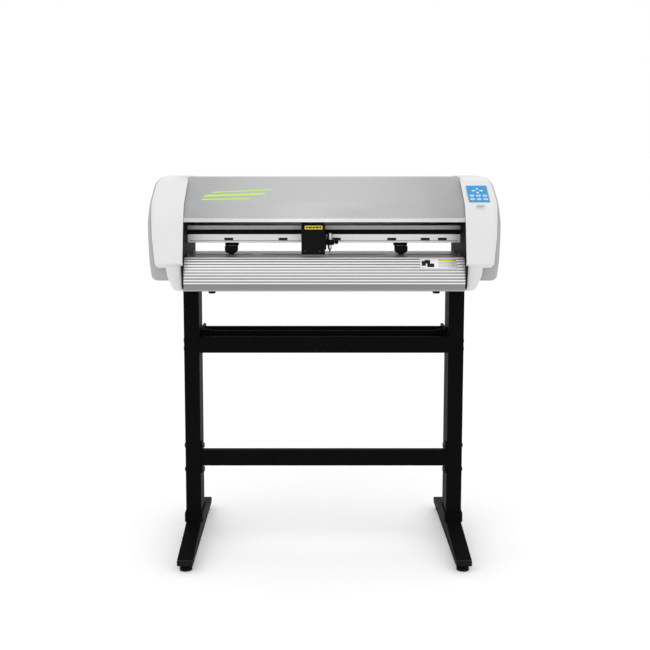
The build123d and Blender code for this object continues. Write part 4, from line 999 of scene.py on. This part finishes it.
# %% [markdown]
# ## Pinch rollers
# The rubber rollers that hold the vinyl down sit under small moulded hoods. A hood is a
# rounded shell, open below for its roller and behind for the lever that carries it.


# %% Hoods
HOOD_HALF = 17.5
HOOD_LOW = 812.0
HOOD_TOP = 831.0
HOOD_FRONT = -47.0
HOOD_BACK = -28.5
BAR_PLACE = (-19.0, 825.0)
BAR_SIZE = (19, 21, 6)


def hood(side, centre_x):
    """The moulded hood over one pinch roller."""
    bm = bmesh.new()
    corners = bar(-HOOD_HALF, HOOD_LOW, HOOD_HALF, HOOD_TOP)
    rounded_face(bm, corners, [9.5, 9.5, 2.0, 2.0])
    pushed = bmesh.ops.extrude_face_region(bm, geom=bm.faces[:])
    bmesh.ops.translate(bm, verts=new_verts(pushed), vec=(0, HOOD_BACK - HOOD_FRONT, 0))
    bmesh.ops.recalc_face_normals(bm, faces=bm.faces[:])
    bm.normal_update()
    front = [
        e for e in bm.edges
        if all(abs(v.co.y) < NEAR for v in e.verts)
        and any(abs(f.normal.y) < 0.5 for f in e.link_faces)
    ]
    bevel_rim(bm, front, 2.5, 4)
    drop_faces(bm, lambda f: all(v.co.y > HOOD_BACK - HOOD_FRONT - NEAR for v in f.verts))
    drop_faces(bm, lambda f: all(abs(v.co.z - HOOD_LOW) < NEAR for v in f.verts))
    bmesh.ops.translate(bm, verts=bm.verts[:], vec=(centre_x, HOOD_FRONT, 0))
    name, body = side + "_pinch_hood", side + "_pinch_lever"
    return piece(name, bm, finishes["trim_black"], body, wall=1.6)


def lever(side, centre_x):
    """The bar that carries a hood from its pivot."""
    bm = bmesh.new()
    bmesh.ops.create_cube(
        bm,
        size=1.0,
        matrix=Matrix.Translation((centre_x, *BAR_PLACE)) @ Matrix.Diagonal((*BAR_SIZE, 1)),
    )
    bmesh.ops.bevel(
        bm,
        geom=bm.edges[:],
        offset=0.8,
        segments=2,
        profile=0.5,
        affect="EDGES",
        material=-1,
    )
    name, body = side + "_pinch_bar", side + "_pinch_lever"
    piece(name, bm, finishes["trim_black"], body)


for side, centre_x in (("left", -250.0), ("right", 208.0)):
    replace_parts(hood(side, centre_x), side + "_pinch_arm")
    lever(side, centre_x)

# %% [markdown]
# ## Blade holder and knob
# The blade holder is turned from bar: a profile spun round the axis of the blade. Its head
# is knurled, which the eye reads as a diamond pattern of small teeth. Every second vertex
# of the knurled rings is pulled in, and the rings alternate. The knob of the clamp has a
# groove at every fourth step instead, so that fingers can grip it.


# %% Turned parts
def turned(profile, steps):
    """A closed turned shape about the Z axis, from radii and heights."""
    bm = bmesh.new()
    verts = [bm.verts.new((radius, 0, height)) for radius, height in profile]
    edges = [bm.edges.new(pair) for pair in zip(verts, verts[1:])]
    bmesh.ops.spin(
        bm,
        geom=verts + edges,
        cent=(0, 0, 0),
        axis=(0, 0, 1),
        angle=math.radians(360),
        steps=steps,
        use_merge=True,
    )
    bmesh.ops.remove_doubles(bm, verts=bm.verts[:], dist=1e-4)
    bmesh.ops.recalc_face_normals(bm, faces=bm.faces[:])
    return bm


def step_round(vert, steps):
    """Which of the steps round the axis a vertex stands on."""
    return round(math.atan2(vert.co.y, vert.co.x) / (2 * math.pi / steps))


def knurl(bm, low, high, depth, steps, outer):
    """Pulls in every second vertex of the outer rings between two heights."""
    for vert in bm.verts:
        reach = Vector((vert.co.x, vert.co.y)).length
        if low < vert.co.z < high and reach > outer - 0.01:
            ring = round(vert.co.z)
            if (step_round(vert, steps) + ring) % 2:
                vert.co.x *= 1 - depth / reach
                vert.co.y *= 1 - depth / reach


KNURL_STEPS = 40
HEAD_RADIUS = 6.5
TOOL_X, TOOL_Y = 15.0, -77.0
point = [(0, 815), (0.5, 815), (1.5, 817), (1.6, 820), (3.6, 826)]
barrel = [(5.75, 829), (5.75, 852), (7.5, 852.4), (7.5, 854.6), (6.0, 855)]
head = [(HEAD_RADIUS, 855.0 + h) for h in range(1, 14)] + [(5.8, 869), (0, 869)]
holder = turned(point + barrel + head, KNURL_STEPS)
knurl(holder, 855.5, 868.5, 0.55, KNURL_STEPS, HEAD_RADIUS)
bmesh.ops.translate(holder, verts=holder.verts[:], vec=(TOOL_X, TOOL_Y, 0))
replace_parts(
    piece("knurled_holder", holder, finishes["tool_metal"], "tool"),
    "blade_holder",
)
print("knurled rings", len(head) - 2)

# %% Clamp knob
KNOB_STEPS = 32
STEPS_PER_GROOVE = 4
GROOVE_SCALE = 0.88
KNOB_X, KNOB_Z = 27.3, 845.0
neck = [(0, 0), (2.6, 0), (2.6, 1.0), (5.0, 1.4)]
grip = [(5.5, float(h)) for h in range(2, 10)]
knob = turned(neck + grip + [(4.6, 10), (0, 10)], KNOB_STEPS)
for vert in knob.verts:
    reach = Vector((vert.co.x, vert.co.y)).length
    if reach > 4.4 and step_round(vert, KNOB_STEPS) % STEPS_PER_GROOVE == 0:
        vert.co.x *= GROOVE_SCALE
        vert.co.y *= GROOVE_SCALE
on_its_side = Matrix.Rotation(math.radians(90), 3, "Y")
bmesh.ops.rotate(knob, matrix=on_its_side, verts=knob.verts[:])
bmesh.ops.translate(knob, verts=knob.verts[:], vec=(KNOB_X, TOOL_Y, KNOB_Z))
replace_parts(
    piece("fluted_knob", knob, finishes["trim_black"], "tool_knob"),
    "clamp_knob",
)
print("knob grooves", KNOB_STEPS // STEPS_PER_GROOVE)
